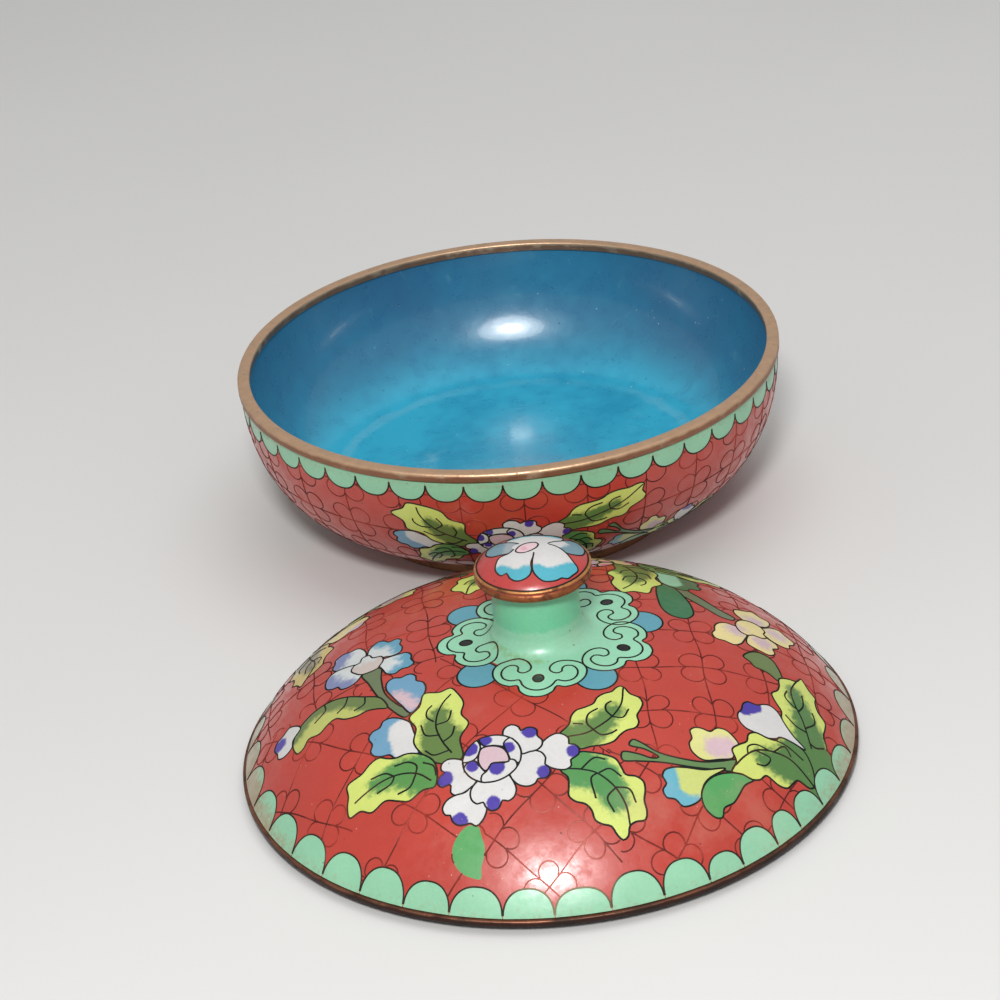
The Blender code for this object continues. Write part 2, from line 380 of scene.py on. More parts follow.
LOWER_RIGHT_LEAF = {
    "outline": [(1.5, -49), (2.9, -50.6), (2.9, -53), (2.7, -54.8), (4, -56), (6.3, -56.7), (7.5, -58),
                (8, -59.8), (9.5, -60.6), (11.5, -61), (12.6, -62.5), (13.8, -63.3), (15, -62.6),
                (15.6, -60.8), (17, -59.9), (19.3, -59.3), (19.8, -57.8), (19.5, -55.5), (20, -53.4),
                (19.8, -51.6), (18.3, -50.6), (16, -50.3), (15.2, -48.6), (14.2, -46.7), (12, -45.7),
                (9, -45), (6, -44.8)],
    "midrib": [(2.5, -48.6), (6, -49), (9.5, -50), (13.3, -53.2), (15.3, -57), (15.7, -60.8)],
    "veins": [[(9.8, -50), (8.2, -51), (8.7, -55.6)],
              [(6.2, -48.9), (9.5, -46.3), (11.8, -46.8)],
              [(10, -50), (12.5, -49), (15, -50.8)],
              [(13.5, -53.2), (11.3, -55.5), (12.5, -58.3)],
              [(13.5, -53.2), (16.5, -53.5), (17.6, -56.2)]],
    "heart": [(2, -47.8), (6, -48.6), (10, -50.2), (13, -55)],
    "reach": (5.2, 3.4),
    "shade": (74, 136, 72),
}
FAR_RIGHT_LEAF = {
    "outline": [(40.5, -45.4), (41.8, -42.6), (41.2, -40), (43, -38.2), (45, -36.6), (45.6, -34.6),
                (47.4, -33.4), (50, -33.6), (52, -33.2), (53, -31.9), (55.5, -31.5), (58.5, -32),
                (60, -35), (59.8, -39), (58.5, -40.3), (56, -40.3), (54.8, -41.5), (53, -43.6),
                (51, -44), (48.5, -43.2), (46.8, -44.8), (45, -45.5), (42.8, -45.2)],
    "midrib": [(41.5, -43.6), (44, -40.6), (47, -38), (51, -36.6), (55, -36.4), (58.6, -38.4),
               (61.4, -40.4)],
    "veins": [[(44.8, -39.7), (45, -38), (47, -36.6), (50, -36.8)],
              [(46.8, -38.2), (50, -38.6), (48.5, -41), (46.5, -41.4)],
              [(51, -36.6), (54, -33.8), (55.1, -35.6)],
              [(51, -33.4), (54, -33.2), (58, -34.6)]],
    "heart": [(59, -34.6), (57, -36.8), (52, -38.8), (48, -39.4)],
    "reach": (6.2, 1.7),
    "shade": LEAF_HEART,
}
RISING_LEAF = {
    "outline": [(61.3, -7.7), (60, -9.8), (57.5, -10.8), (55.6, -12.3), (55.3, -15), (54.6, -17),
                (53, -19), (53.6, -21.5), (54.6, -23.6), (54.4, -26), (55.8, -28.6), (58, -31), (60, -33),
                (64.5, -27), (64.2, -24), (65, -21), (65.3, -19), (64, -17), (63.7, -14), (64, -12.4),
                (62.8, -10.8)],
    "midrib": [(60.6, -30), (59.5, -23), (58.3, -19), (58, -15), (59, -12), (60.5, -8.8)],
    "veins": [[(55.4, -24.2), (57.5, -26), (60, -26.2)],
              [(62.4, -18.6), (62.6, -21.5), (60, -25)],
              [(57, -15.5), (56.2, -18), (57.5, -19.8), (59, -20.5)],
              [(58.9, -21), (60.4, -18), (60.6, -14.4)],
              [(60.2, -28.6), (61.5, -29), (63.8, -27.4)]],
    "heart": [(61.2, -30.5), (60.4, -24), (59.6, -19), (58.8, -14.5)],
    "reach": (4.6, 1.6),
    "shade": (84, 108, 48),
    "foot": [(57, -33), (57.4, -30.4), (58.6, -28.2), (61, -27), (63.6, -26.6), (64.8, -27.8), (66.4, -29),
             (66.8, -32.4), (65, -35), (63.8, -38), (63.4, -41), (61.4, -42.4), (58.4, -40.6), (56.6, -38)],
    "foot_edge": [(64.6, -27), (66.2, -28.8), (66.8, -32.4), (65, -35), (63.8, -38), (63.4, -41)],
}
CURVED_LEAF = [(-38.8, -15), (-43, -12), (-47, -9.2), (-51, -7.6), (-55, -7.6), (-58.5, -9.2),
               (-60.5, -12), (-60.8, -15), (-59.5, -18), (-58, -17.6), (-56.8, -16), (-54, -16.8),
               (-52, -15.6), (-50, -15), (-47.5, -17), (-44.5, -18), (-42, -17.8), (-39.5, -18.6),
               (-37.2, -19.5)]
CURVED_LEAF_VEINS = [
    [(-52.6, -7.6), (-52.4, -10), (-55.2, -12)],
    [(-46.8, -9.7), (-47.5, -12), (-49.5, -13.5)],
    [(-42.5, -12.5), (-42.8, -15), (-45.3, -15.7)],
]
DROP_LEAF = [(-18.3, -57.6), (-20.8, -57), (-23, -58.1), (-24.3, -59.6), (-24.7, -61.2), (-24.1, -63.2),
             (-22.6, -64.8), (-20.9, -65.8), (-18.7, -66.5), (-18.4, -64.9), (-17.6, -63.3), (-17.2, -61.8),
             (-17.6, -60)]
TWIG_LEAF = [(45.4, -45.3), (41.6, -45.4), (38.7, -46.3), (35.8, -47.9), (33.6, -50.2), (32.6, -52.8),
             (33.2, -55), (35.2, -56.1), (36.9, -55.6), (37.5, -53.8), (39.9, -52), (41.3, -50.1),
             (43, -47.5)]
OLIVE_LEAF = [(47.8, -8.2), (49.5, -5.6), (51.7, -4.3), (53.8, -4.6), (55.2, -5.9), (56.1, -8.5),
              (56.6, -11.4), (57.2, -13.2), (55, -13.2), (53.4, -11.9), (51.9, -11.4), (50.1, -11.1),
              (49.2, -9.6)]
RIGHT_STEM = [(47.2, 8.4), (44.6, 8.6), (41, 12), (36.6, 17), (32.4, 22.5), (30, 27), (33, 28.5),
              (36, 24), (40, 18.6), (44.4, 13), (47.8, 10)]
BACK_LEAF = [(31.4, 27), (30, 21), (29.8, 14), (30.6, 8.4), (32.6, 5.4), (35.6, 4.6), (37.6, 7), (37.6, 12),
             (36.4, 17), (34.6, 22)]
FORKED_TWIG = [(17.6, -43), (18.6, -41.5), (20.5, -42.3), (24, -44.4), (29, -45.2), (34, -45),
               (38, -43.8), (42, -42.4), (41.5, -44.8), (36, -46.2), (31, -46.8), (24, -46.8),
               (19, -47), (15.7, -46.9), (15.8, -44.9), (19, -45.1), (22.5, -46), (24, -45.6),
               (21, -43.9)]
LEFT_STEM = [(-43, -3), (-41.5, -8), (-39.5, -14), (-37, -19.5), (-33, -24.8), (-31.6, -23.7),
             (-34.8, -19.5), (-37.6, -14), (-38.4, -8), (-38.6, -3)]
LOW_BUD = [(-33, -25.8), (-34.6, -24.4), (-36.6, -23.4), (-38.4, -23.6), (-39.2, -25.2), (-41, -25.5),
           (-42, -27), (-41.2, -29.4), (-41.7, -31), (-41, -32.6), (-39, -33.8), (-37.3, -34.2),
           (-36, -35.7), (-33.5, -35.8), (-30.6, -37), (-30.5, -34), (-31.3, -30), (-32, -27)]
HIGH_BUD = [(-31.6, -24), (-30.2, -23), (-29.3, -21.4), (-28.4, -19), (-27.8, -16.5), (-28.4, -14),
            (-30, -12.6), (-30, -11), (-31, -9.6), (-32.2, -9.4), (-33.6, -9.9), (-35.3, -9.2),
            (-36.9, -10), (-37.3, -12.5), (-36, -16), (-34, -20)]
FAR_BUD = [(-58.8, -10), (-60.3, -7.4), (-62, -6.3), (-63.2, -7.2), (-65, -7.6), (-65.8, -9.5),
           (-65, -12), (-64.8, -13.8), (-63, -15), (-61.2, -14.3), (-60.8, -12)]
TWIG_BUD = [(34, -44.5), (31.8, -43), (31.4, -41), (32.2, -39.5), (32, -37.5), (33.4, -36.4),
            (35, -36.4), (36.6, -36.8), (38.3, -35.4), (40.3, -35.3), (42, -36.6), (43, -38.4),
            (41.6, -40), (41.2, -42), (38, -43.4)]
TWO_TONE_BUD = [(39, -45.2), (34, -46.8), (29.5, -47.2), (27, -47.6), (25, -48.5), (24.3, -50),
                (25, -51.4), (24, -53), (24.6, -54.4), (26.6, -54.5), (28, -55.6), (30.5, -54.8),
                (32.6, -53), (33.4, -50.4), (35, -48.4)]
WHITE_BUD = [(59, -31.4), (56.5, -29.5), (54.8, -27), (53.6, -24.5), (52, -23.5), (50.3, -24),
             (48.8, -24.9), (46.8, -24.8), (45.5, -26), (44.9, -28), (43.9, -29.4), (43.9, -31.4),
             (45.2, -33), (47.3, -33.4), (50, -33.6), (51.8, -32.9), (54, -31.6)]
LEFT_BLOSSOM = [
    ([(-42, 5.5), (-42.3, 8), (-44, 10.8), (-46, 11), (-48, 11.6), (-49.8, 10.4), (-50, 8.3),
      (-50.6, 6.4), (-49.8, 4.8), (-47.7, 3.4), (-44, 1)], GREY_WHITE, LAVENDER,
     [(-49.6, 6.5), (-48, 10.4)], 2.4),
    ([(-49.8, 4.4), (-51.8, 3), (-52.4, 0.8), (-52, -1.6), (-50.3, -3), (-49.2, -3.2), (-48.4, -4.9),
      (-46.4, -5.6), (-44.4, -4.8), (-43.2, -3), (-42, 1)], GREY_WHITE, LAVENDER,
     [(-51.5, 1), (-50.4, -2.2), (-47, -4.6)], 2.4),
    ([(-41.6, 6), (-40.6, 8.6), (-38.8, 10), (-37.2, 9.2), (-36.3, 8), (-34.4, 8.4), (-33.2, 7.2),
      (-33.6, 5.4), (-33, 3.6), (-33.6, 1.4), (-35.6, 0.8), (-37.2, 1.3), (-41, 2)], GREY_WHITE, TEAL,
     [(-38.6, 9.4), (-34.6, 6.8), (-33.6, 3)], 2.2),
    ([(-37.5, 0.6), (-35, 0.6), (-32, 0.4), (-30.9, -1.2), (-31, -3), (-30.3, -5), (-31.6, -6.3),
      (-33.4, -6.3), (-35, -7.4), (-37, -6.4), (-38, -4), (-38.6, -2.6), (-40, 1)], GREY_WHITE, TEAL,
     [(-32, -0.6), (-31.4, -4.4), (-34.6, -6.6)], 2.2),
    ([(-45.8, 1), (-45, 2.8), (-43.6, 3), (-43, 4.8), (-41.2, 4.8), (-40.4, 3), (-38.2, 2.2),
      (-37.8, 0), (-38.8, -2), (-39.2, -2.7), (-43, -2.8), (-44.8, -1)], BLOSSOM_EYE, GREY_WHITE,
     [(-43.6, 3.4), (-40.6, 3.4)], 1.6),
]
RIGHT_BLOSSOM = [
    ([(49.7, 10.8), (48.3, 13), (48.2, 15.6), (49.4, 16.6), (51.2, 17.6), (53, 19), (54.6, 17.4),
      (56.6, 16.8), (56.7, 14.6), (55.4, 11.5), (54, 10.3), (52, 8)], (53, 12.4), 2.4),
    ([(55, 10.6), (56.6, 12.6), (58.8, 13.8), (60.2, 12.2), (62, 10.6), (61.6, 8.6), (60.5, 7),
      (60.3, 5), (58.5, 3.9), (56, 4.4), (54.8, 5.6), (52.5, 8)], (57.6, 9.6), 2.4),
    ([(55.6, 4.4), (57, 3.4), (57.2, 1.6), (55.8, 0.2), (56, -2), (54.3, -3.7), (52.8, -3.4),
      (51.2, -2.9), (49.6, -1.8), (49.6, 0.4), (50.2, 2.4), (52, 6)], (53.4, 1.4), 2.4),
    ([(47.6, 5.6), (45, 6), (43, 4.6), (42.2, 2.6), (42.1, 1), (41.3, -0.6), (42, -2.8), (44, -3.2),
      (46.2, -4), (48, -2.6), (49, -0.4), (50, 2.4), (50, 5)], (47.4, 3.2), 2.4),
    ([(47.8, 5), (47.8, 7.6), (49.4, 10.2), (52, 11), (54, 10), (54.8, 8), (54.3, 6.4), (54.8, 4.8),
      (53.4, 3.6), (51.4, 3.6), (50.2, 2.6), (48.6, 3.2)], (48.6, 5.4), 1.4),
]


def lay_leaf(drawing, leaf, field=LEAF_EDGE, heart=None):
    heart = heart or leaf["shade"]
    drawing.lay(leaf["outline"], field, heart, leaf["heart"], leaf["reach"], soft=3.0)
    if "foot" in leaf:
        drawing.lay(leaf["foot"], heart, wired=False)
        drawing.wire(leaf["foot_edge"])
    drawing.wire(leaf["midrib"])
    for vein in leaf["veins"]:
        drawing.wire(vein)


def oval_arc(start, end):
    """Points on the oval round the peony's heart, from one angle to another in degrees."""
    turns = np.radians(np.linspace(start, end, 2 + round(abs(end - start) / 15)))
    return np.array(PEONY_MIDDLE) + round_points(turns, *PEONY_OVAL)


def lay_peony(drawing, petal, tip, centre):
    for outline, spot, reach in PEONY:
        drawing.lay(outline, petal, tip, [spot], reach, soft=0.7)
    drawing.lay(oval_arc(0, 345), petal)
    for start, end, inner, spot, reach in PEONY_HEART:
        drawing.lay(np.vstack([oval_arc(start, end), inner]), petal, tip, [spot], reach, soft=0.6)
    drawing.lay(PEONY_CENTRE, centre)


def lay_spray(drawing, petals=(WHITE, VIOLET), leaves=(LEAF_EDGE, LEAF_HEART), bud=(WHITE, VIOLET),
              low_bud=(BLUE, WHITE)):
    """The peony with its leaves, the forked twig with its buds, and the leaves at its right end."""
    drawing.lay(FORKED_TWIG, TWIG)
    drawing.lay(TWIG_BUD, PALE_YELLOW, PINK, [(37.4, -40.6), (40.6, -39.6)], 2.6, soft=3.0)
    blue_side = [(25, -49.4), (25.6, -53), (29, -54.9), (31.6, -54.4)]
    drawing.lay(TWO_TONE_BUD, BUD_YELLOW, BUD_BLUE, blue_side, (2.8, 1.5), soft=1.4)
    drawing.lay(TWIG_LEAF, GREEN)
    lay_leaf(drawing, RISING_LEAF, *leaves)
    drawing.lay(WHITE_BUD, *bud, [(45.4, -27.6), (48.2, -25.4)], 1.7, soft=0.7)
    lay_leaf(drawing, FAR_RIGHT_LEAF)
    drawing.lay(LOW_BUD, *low_bud, [(-34, -28.5), (-33, -34)], 3.4)
    for leaf in (UPPER_LEFT_LEAF, LEFT_LEAF, UPPER_RIGHT_LEAF, LOWER_RIGHT_LEAF):
        lay_leaf(drawing, leaf)
    drawing.lay(DROP_LEAF, GREEN, wired=False)
    lay_peony(drawing, *petals, PINK)


def lay_left_branch(drawing):
    drawing.lay(LEFT_STEM, STEM)
    dark_back = [(-38, -17), (-43, -13), (-48, -9.8), (-56, -8.6), (-60, -13)]
    drawing.lay(CURVED_LEAF, CURVED_LEAF_GREEN, OLIVE, dark_back, (3.6, 1.2), soft=2.2)
    for vein in CURVED_LEAF_VEINS:
        drawing.wire(vein)
    drawing.lay(FAR_BUD, WHITE, VIOLET, [(-64.6, -9.6)], 2.0)
    drawing.lay(HIGH_BUD, BLUE, PINK, [(-34.5, -16.5), (-31, -21.6)], 1.8, soft=3.0)
    for outline, field, heart, spine, reach in LEFT_BLOSSOM:
        drawing.lay(outline, field, heart, spine, reach, soft=3.6)


def lay_right_branch(drawing):
    drawing.lay(RIGHT_STEM, STEM)
    drawing.lay(OLIVE_LEAF, OLIVE)
    drawing.lay(BACK_LEAF, DARK_GREEN)
    for outline, spot, reach in RIGHT_BLOSSOM:
        drawing.lay(outline, YELLOW, PINK, [spot], reach, soft=4.0)


COLLAR_CENTRE = (2.1, -0.4)
COLLAR_GROW = 1.06
RUYI_HEADS = [40, 110, 181, 260, 332]
RUYI_HALF = [(0, 25.2), (1.9, 24.8), (3.7, 23.2), (4.4, 21.3), (6.2, 21.5), (8.6, 20.3), (10.2, 17.8),
             (10.4, 14.9), (9.2, 12.8), (7.2, 11.8), (4.9, 11.7), (3.0, 12.6), (2.1, 14.2), (2.4, 15.8),
             (3.8, 16.6), (4.9, 15.9), (4.9, 14.8), (5.4, 13.8), (6.9, 13.6), (8.2, 14.9), (8.5, 16.9),
             (7.7, 18.7), (6, 19.5), (4.2, 19.2), (3.3, 21), (2.2, 22.2), (0.9, 22.8), (0, 22.9)]
RUYI_TREFOIL = RUYI_HALF[:9] + [(6, 10)]
NECK_FILLET = 0.9


def ring_points(radius, height=0, width=1.0, count=24):
    """An oval about (0, height); width is its width over its height."""
    turns = 2 * math.pi * np.arange(count) / count
    return round_points(turns, width * radius, radius) + np.array([0, height])


def lay_collar(drawing):
    """Five ruyi heads about the neck, with half-rounds of blue in the gaps between them."""
    def face(degrees):
        drawing.move_to(turned_by(degrees - 90, COLLAR_CENTRE, COLLAR_GROW))

    for first, second in zip(RUYI_HEADS, RUYI_HEADS[1:] + [RUYI_HEADS[0] + 360]):
        face((first + second) / 2)
        drawing.lay(ring_points(4.7, 21.6), RUYI_BLUE)
    mirrored = [(-u, v) for u, v in RUYI_TREFOIL]
    for head in RUYI_HEADS:
        face(head)
        drawing.lay(RUYI_TREFOIL + mirrored[:0:-1], CELADON, wired=False)
    face(90)
    stained = [(-8.2, 8.2), (-12, 2), (-12, -4), (-8, -10), (-2, -12.6)]
    drawing.lay(ring_points(16.3, count=36), CELADON, STAIN, stained, 0.2, wired=False, soft=3.4)
    for head in RUYI_HEADS:
        face(head)
        for side in (1, -1):
            drawing.wire([(side * u, v) for u, v in RUYI_HALF])
        drawing.lay(ring_points(1.4, 18.6, 0.85, count=10), NEAR_BLACK)
    drawing.move_to()
    foot = ring_points(NECK, count=36)
    drawing.lay(ring_points(NECK + NECK_FILLET, count=36), NECK_GREEN, CELADON, np.vstack([foot, foot[:1]]),
                1.2, wired=False)


LAPPET_JOINTS = [240.1, 248.9, 258.5, 267.6, 277.5, 287.1, 296.0, 303.2, 311.6, 318.2, 326.0, 334.2,
                 343.4, 352.6]
LAPPET_DEPTHS = [3.6, 3.6, 3.5, 3.1, 4.1, 3.9, 2.7, 3.8, 3.6, 3.6, 3.5, 3.0, 2.9]
LAPPETS_ELSEWHERE = 27
LAPPET_DEPTH = 4.1
LAPPET_GAP = 0.1
LAPPET_SQUARENESS = 2.3
EDGE_MARGIN = 0.3
BACK_SPRAY_TURN = 178.5
BACK_SPRAY_GROW = 0.965
GRIME_REACH = -1.2
GRIME_SOFTNESS = 5.0
GRIME_AT_SIDES = 5.2
GRIME_NARROWNESS = 12


def lay_lappets(drawing, edge, joints, depths, grime_at_sides):
    """Scallops that stand on the edge, each with its own wire, so that their joints are doubled.

    Grime creeps in from the edge, furthest at the two sides, where hands lift the piece.
    """
    shares = np.sin(np.radians(np.linspace(-90, 90, 19)))
    rise = (1 - abs(shares) ** LAPPET_SQUARENESS) ** 0.5
    for first, second, depth in zip(joints, joints[1:] + [joints[0] + 360], depths):
        half = math.radians(second - first) / 2 - LAPPET_GAP / edge
        middle = math.radians(first + second) / 2
        turns = middle + half * shares
        arch = round_points(turns, edge - depth * rise)
        outer = round_points(turns[::-3], edge + 2)
        grime = GRIME_REACH + grime_at_sides * abs(math.cos(middle)) ** GRIME_NARROWNESS
        drawing.lay(np.vstack([arch, outer]), LAPPET, GRIME, round_points(turns[::9], edge), grime,
                    wired=False, soft=GRIME_SOFTNESS)
        drawing.scallops.append((smooth_line(arch), False, len(drawing.cells)))


lappet_step = (360 + LAPPET_JOINTS[0] - LAPPET_JOINTS[-1]) / LAPPETS_ELSEWHERE
lid_joints = LAPPET_JOINTS + [LAPPET_JOINTS[-1] + lappet_step * step for step in range(1, LAPPETS_ELSEWHERE)]
lid_depths = LAPPET_DEPTHS + [LAPPET_DEPTH] * LAPPETS_ELSEWHERE
lid_drawing = Drawing(NECK_DRAWN_TO, DOME_EDGE, lid_section, LID_Y)
lay_left_branch(lid_drawing)
lay_right_branch(lid_drawing)
lid_drawing.move_to(turned_by(BACK_SPRAY_TURN, grow=BACK_SPRAY_GROW), BACK_SPRAY_GROW)
lay_spray(lid_drawing, (YELLOW, BACK_TIP), (OCHRE, BACK_VEIN), (YELLOW, PINK), (DARK_GREEN, LAPPET))
lid_drawing.move_to()
lay_spray(lid_drawing)
lay_collar(lid_drawing)
lay_lappets(lid_drawing, DOME_EDGE - EDGE_MARGIN, lid_joints, lid_depths, GRIME_AT_SIDES)


def hex_grid(outermost, spacing):
    rows = np.arange(-outermost, outermost, spacing * math.sqrt(3) / 2)
    lines = []
    for number, y in enumerate(rows):
        x = np.arange(-outermost, outermost, spacing) + (number % 2) * spacing / 2
        lines.append(np.column_stack([x, np.full(len(x), y)]))
    return np.vstack(lines)


def reach_of(points):
    return np.hypot(points[:, 0], points[:, 1])


def on_surface(drawing, points, lift=0.0):
    """Drawn points as places on the drawing's face, in metres, and the face's normals there."""
    reach = reach_of(points)
    radius, height = drawing.section(reach)
    near, far = drawing.section(reach - SLOPE_STEP), drawing.section(reach + SLOPE_STEP)
    slope = np.column_stack([near[1] - far[1], far[0] - near[0]]) * drawing.side
    slope /= np.linalg.norm(slope, axis=1)[:, None]
    around = points / np.maximum(reach, TINY)[:, None]
    normals = np.column_stack([around * slope[:, :1], slope[:, 1]])
    places = np.column_stack([around * radius[:, None], height]) + normals * lift
    return (places + np.array([0, drawing.axis_y, 0])) * MM, normals


def polar_uv(points, innermost, outermost):
    """A flat disc of UV space for a turned surface, by the drawing's own radius."""
    share = (reach_of(points) - innermost) / (outermost - innermost)
    ring = UV_INNER + (UV_OUTER - UV_INNER) * share
    return 0.5 + points / np.maximum(reach_of(points), TINY)[:, None] * ring[:, None]


def brought_uv(mesh, uv):
    layer = mesh.uv_layers.new(name="OFBake")
    layer.data.foreach_set("uv", np.asarray(uv, np.float32).ravel())


def new_piece(name, mesh):
    piece = bpy.data.objects.new(name, mesh)
    bpy.context.scene.collection.objects.link(piece)
    return piece


def add_line(points, edges, run):
    """Adds a run's points to a list, and the stretches between them as pairs of their numbers."""
    closed = len(run) > 3 and np.allclose(run[0], run[-1])
    first = len(points)
    points.extend(run[:-1] if closed else run)
    edges.extend((k, k + 1) for k in range(first, len(points) - 1))
    if closed:
        edges.append((len(points) - 1, first))


def flat_skin(drawing, rings, open_from):
    """The drawing cut into triangles, with an edge along every border between two colours."""
    points = []
    edges = []
    innermost, outermost = rings[0][0], rings[-1][0]
    for reach, count in rings:
        ring = round_points(np.arange(count) * 2 * math.pi / count, reach)
        if reach in (innermost, outermost):
            add_line(points, edges, np.vstack([ring, ring[:1]]))
        else:
            points.extend(ring)
    for run in drawing.runs(drawing.borders):
        add_line(points, edges, run)
    tree = KDTree(len(points))
    for number, point in enumerate(points):
        tree.insert((*point, 0), number)
    tree.balance()
    graded = np.array([cell["spine"] is not None for cell in drawing.cells] + [False])
    for spacing, fine in ((PLAIN_SPACING, False), (GRADED_SPACING, True)):
        grid = hex_grid(outermost, spacing)
        grid = grid[(reach_of(grid) > open_from) & (reach_of(grid) < outermost - GRID_MARGIN)]
        grid = grid[graded[drawing.top_cell(grid)] == fine]
        points.extend(spot for spot in grid if tree.find((*spot, 0))[2] > spacing * CLEARANCE)
    corners, _, faces = delaunay_2d_cdt([tuple(point) for point in points], edges, [], 0, WELD, False)[:3]
    flat = np.array([tuple(corner) for corner in corners])
    faces = np.array(faces)
    hole = innermost * math.cos(math.pi / rings[0][1])
    faces = faces[reach_of(flat[faces].mean(1)) > hole]
    signs = np.cross(flat[faces[:, 1]] - flat[faces[:, 0]], flat[faces[:, 2]] - flat[faces[:, 0]])
    return flat, np.where((signs * drawing.side > 0)[:, None], faces, faces[:, ::-1])


def heart_share(cell, spots):
    """How far each spot is into a cell's heart colour: 0.5 on the heart's border."""
    spine = cell["spine"]
    reaches = np.linspace(*cell["reach"], len(spine))
    gaps = np.full(len(spots), np.inf)
    for start, end, reach in zip(spine, spine[1:] if len(spine) > 1 else spine, reaches):
        along = end - start
        t = np.clip((spots - start) @ along / max(along @ along, TINY), 0, 1)
        gaps = np.minimum(gaps, np.linalg.norm(spots - start - t[:, None] * along, axis=1) - reach)
    return np.clip(0.5 - gaps / cell["soft"], -1, 2)


def enamel_skin(name, drawing, rings, material, ground, open_from):
    """The whole enamelled face as one mesh that carries each cell's colours at its corners."""
    flat, faces = flat_skin(drawing, rings, open_from)
    places, normals = on_surface(drawing, flat)
    mesh = bpy.data.meshes.new(name)
    mesh.from_pydata(places.tolist(), [], faces.tolist())
    loops = faces.ravel()
    top = np.repeat(drawing.top_cell(flat[faces].mean(1)), 3)
    field = np.tile(np.append(linear(ground), 1.0), (len(loops), 1))
    heart = field.copy()
    share = np.full(len(loops), -1.0)
    for number, cell in enumerate(drawing.cells):
        own = np.flatnonzero(top == number)
        field[own, :3] = cell["field"]
        heart[own, :3] = cell["heart"]
        if cell["spine"] is not None:
            share[own] = heart_share(cell, flat[loops[own]])
    for label, values in (("field", field), ("heart", heart)):
        mesh.attributes.new(label, "FLOAT_COLOR", "CORNER").data.foreach_set("color", values.ravel())
    mesh.attributes.new("share", "FLOAT", "CORNER").data.foreach_set("value", share)
    brought_uv(mesh, polar_uv(flat[loops], rings[0][0], rings[-1][0]))
    mesh.polygons.foreach_set("use_smooth", np.ones(len(faces), bool))
    mesh.normals_split_custom_set_from_vertices(normals.tolist())
    mesh.materials.append(material)
    return new_piece(name, mesh)


class Term:
    """A node's output that can stand in a sum: each operation on it adds a Math node to its tree."""

    def __init__(self, bench, socket):
        self.bench = bench
        self.socket = socket

    def math(self, operation, first, second):
        return self.bench.add("ShaderNodeMath", {"operation": operation}, {0: first, 1: second})

    def __add__(self, other):
        return self.math("ADD", self, other)

    def __radd__(self, other):
        return self.math("ADD", other, self)

    def __sub__(self, other):
        return self.math("SUBTRACT", self, other)

    def __rsub__(self, other):
        return self.math("SUBTRACT", other, self)

    def __mul__(self, other):
        return self.math("MULTIPLY", self, other)

    def __rmul__(self, other):
        return self.math("MULTIPLY", other, self)

    def __pow__(self, other):
        return self.math("POWER", self, other)


class Bench:
    """A node tree being built. add() makes one node: its settings first, then its sockets."""

    def __init__(self, tree):
        self.tree = tree

    def add(self, kind, settings=None, sockets=None, out=0):
        node = self.tree.nodes.new(kind)
        for label, value in (settings or {}).items():
            setattr(node, label, value)
        for label, value in (sockets or {}).items():
            socket = node.inputs[label]
            if isinstance(value, Term):
                self.tree.links.new(value.socket, socket)
            elif hasattr(value, "__len__") and not isinstance(value, str) and len(socket.default_value) == 4:
                socket.default_value = (*value, 1.0)[:4]
            else:
                socket.default_value = value
        return Term(self, node.outputs[out]) if len(node.outputs) else None

    def mix(self, factor, first, second, blend="MIX"):
        settings = {"data_type": "RGBA", "blend_type": blend}
        return self.add("ShaderNodeMix", settings, {0: factor, 6: first, 7: second}, out=2)

    def step(self, value, low, high):
        settings = {"interpolation_type": "SMOOTHSTEP"}
        return self.add("ShaderNodeMapRange", settings, {"Value": value, "From Min": low, "From Max": high})

    def noise(self, place, scale, detail=3.0, rough=0.55):
        sockets = {"Vector": place, "Scale": scale, "Detail": detail, "Roughness": rough}
        return self.add("ShaderNodeTexNoise", None, sockets)

    def dots(self, place, scale, size):
        """Round specks, 1 in the middle of each: one to a Voronoi cell."""
        near = self.add("ShaderNodeTexVoronoi", None, {"Vector": place, "Scale": scale})
        return 1 - self.step(near, size * 0.5, size)

    def split(self, vector):
        """A vector's x, y and z."""
        node = self.add("ShaderNodeSeparateXYZ", None, {0: vector}).socket.node
        return [Term(self, output) for output in node.outputs]

    def from_axis(self, place, axis_y):
        """Distance from an upright axis that stands at axis_y millimetres."""
        x, y, _ = self.split(place)
        behind = y - axis_y * MM
        return (x * x + behind * behind) ** 0.5

    def shaded(self, colour, amount):
        """A colour made lighter or darker by a varying amount."""
        return self.add("ShaderNodeVectorMath", {"operation": "SCALE"}, {0: colour, "Scale": amount})

    def bumped(self, height, distance, strength=1.0):
        """The normal of a surface with a varying height; distance is the height of 1, in metres."""
        sockets = {"Strength": strength, "Distance": distance, "Height": height}
        return self.add("ShaderNodeBump", None, sockets)

    def feed(self, **sockets):
        """Links what varies to the surface's sockets."""
        for label, value in sockets.items():
            self.tree.links.new(value.socket, self.surface.inputs[label.replace("_", " ").title()])


def new_finish(name, **plain):
    """A material with one Principled surface, given its plain values, a bench and Object places."""
    material = bpy.data.materials.new(name)
    material.use_nodes = True
    material.node_tree.nodes.clear()
    bench = Bench(material.node_tree)
    labels = {label.replace("_", " ").title().replace("Ior", "IOR"): value for label, value in plain.items()}
    surface = bench.add("ShaderNodeBsdfPrincipled", None, labels)
    bench.add("ShaderNodeOutputMaterial", None, {"Surface": surface})
    bench.surface = surface.socket.node
    return material, bench, bench.add("ShaderNodeTexCoord", out="Object")


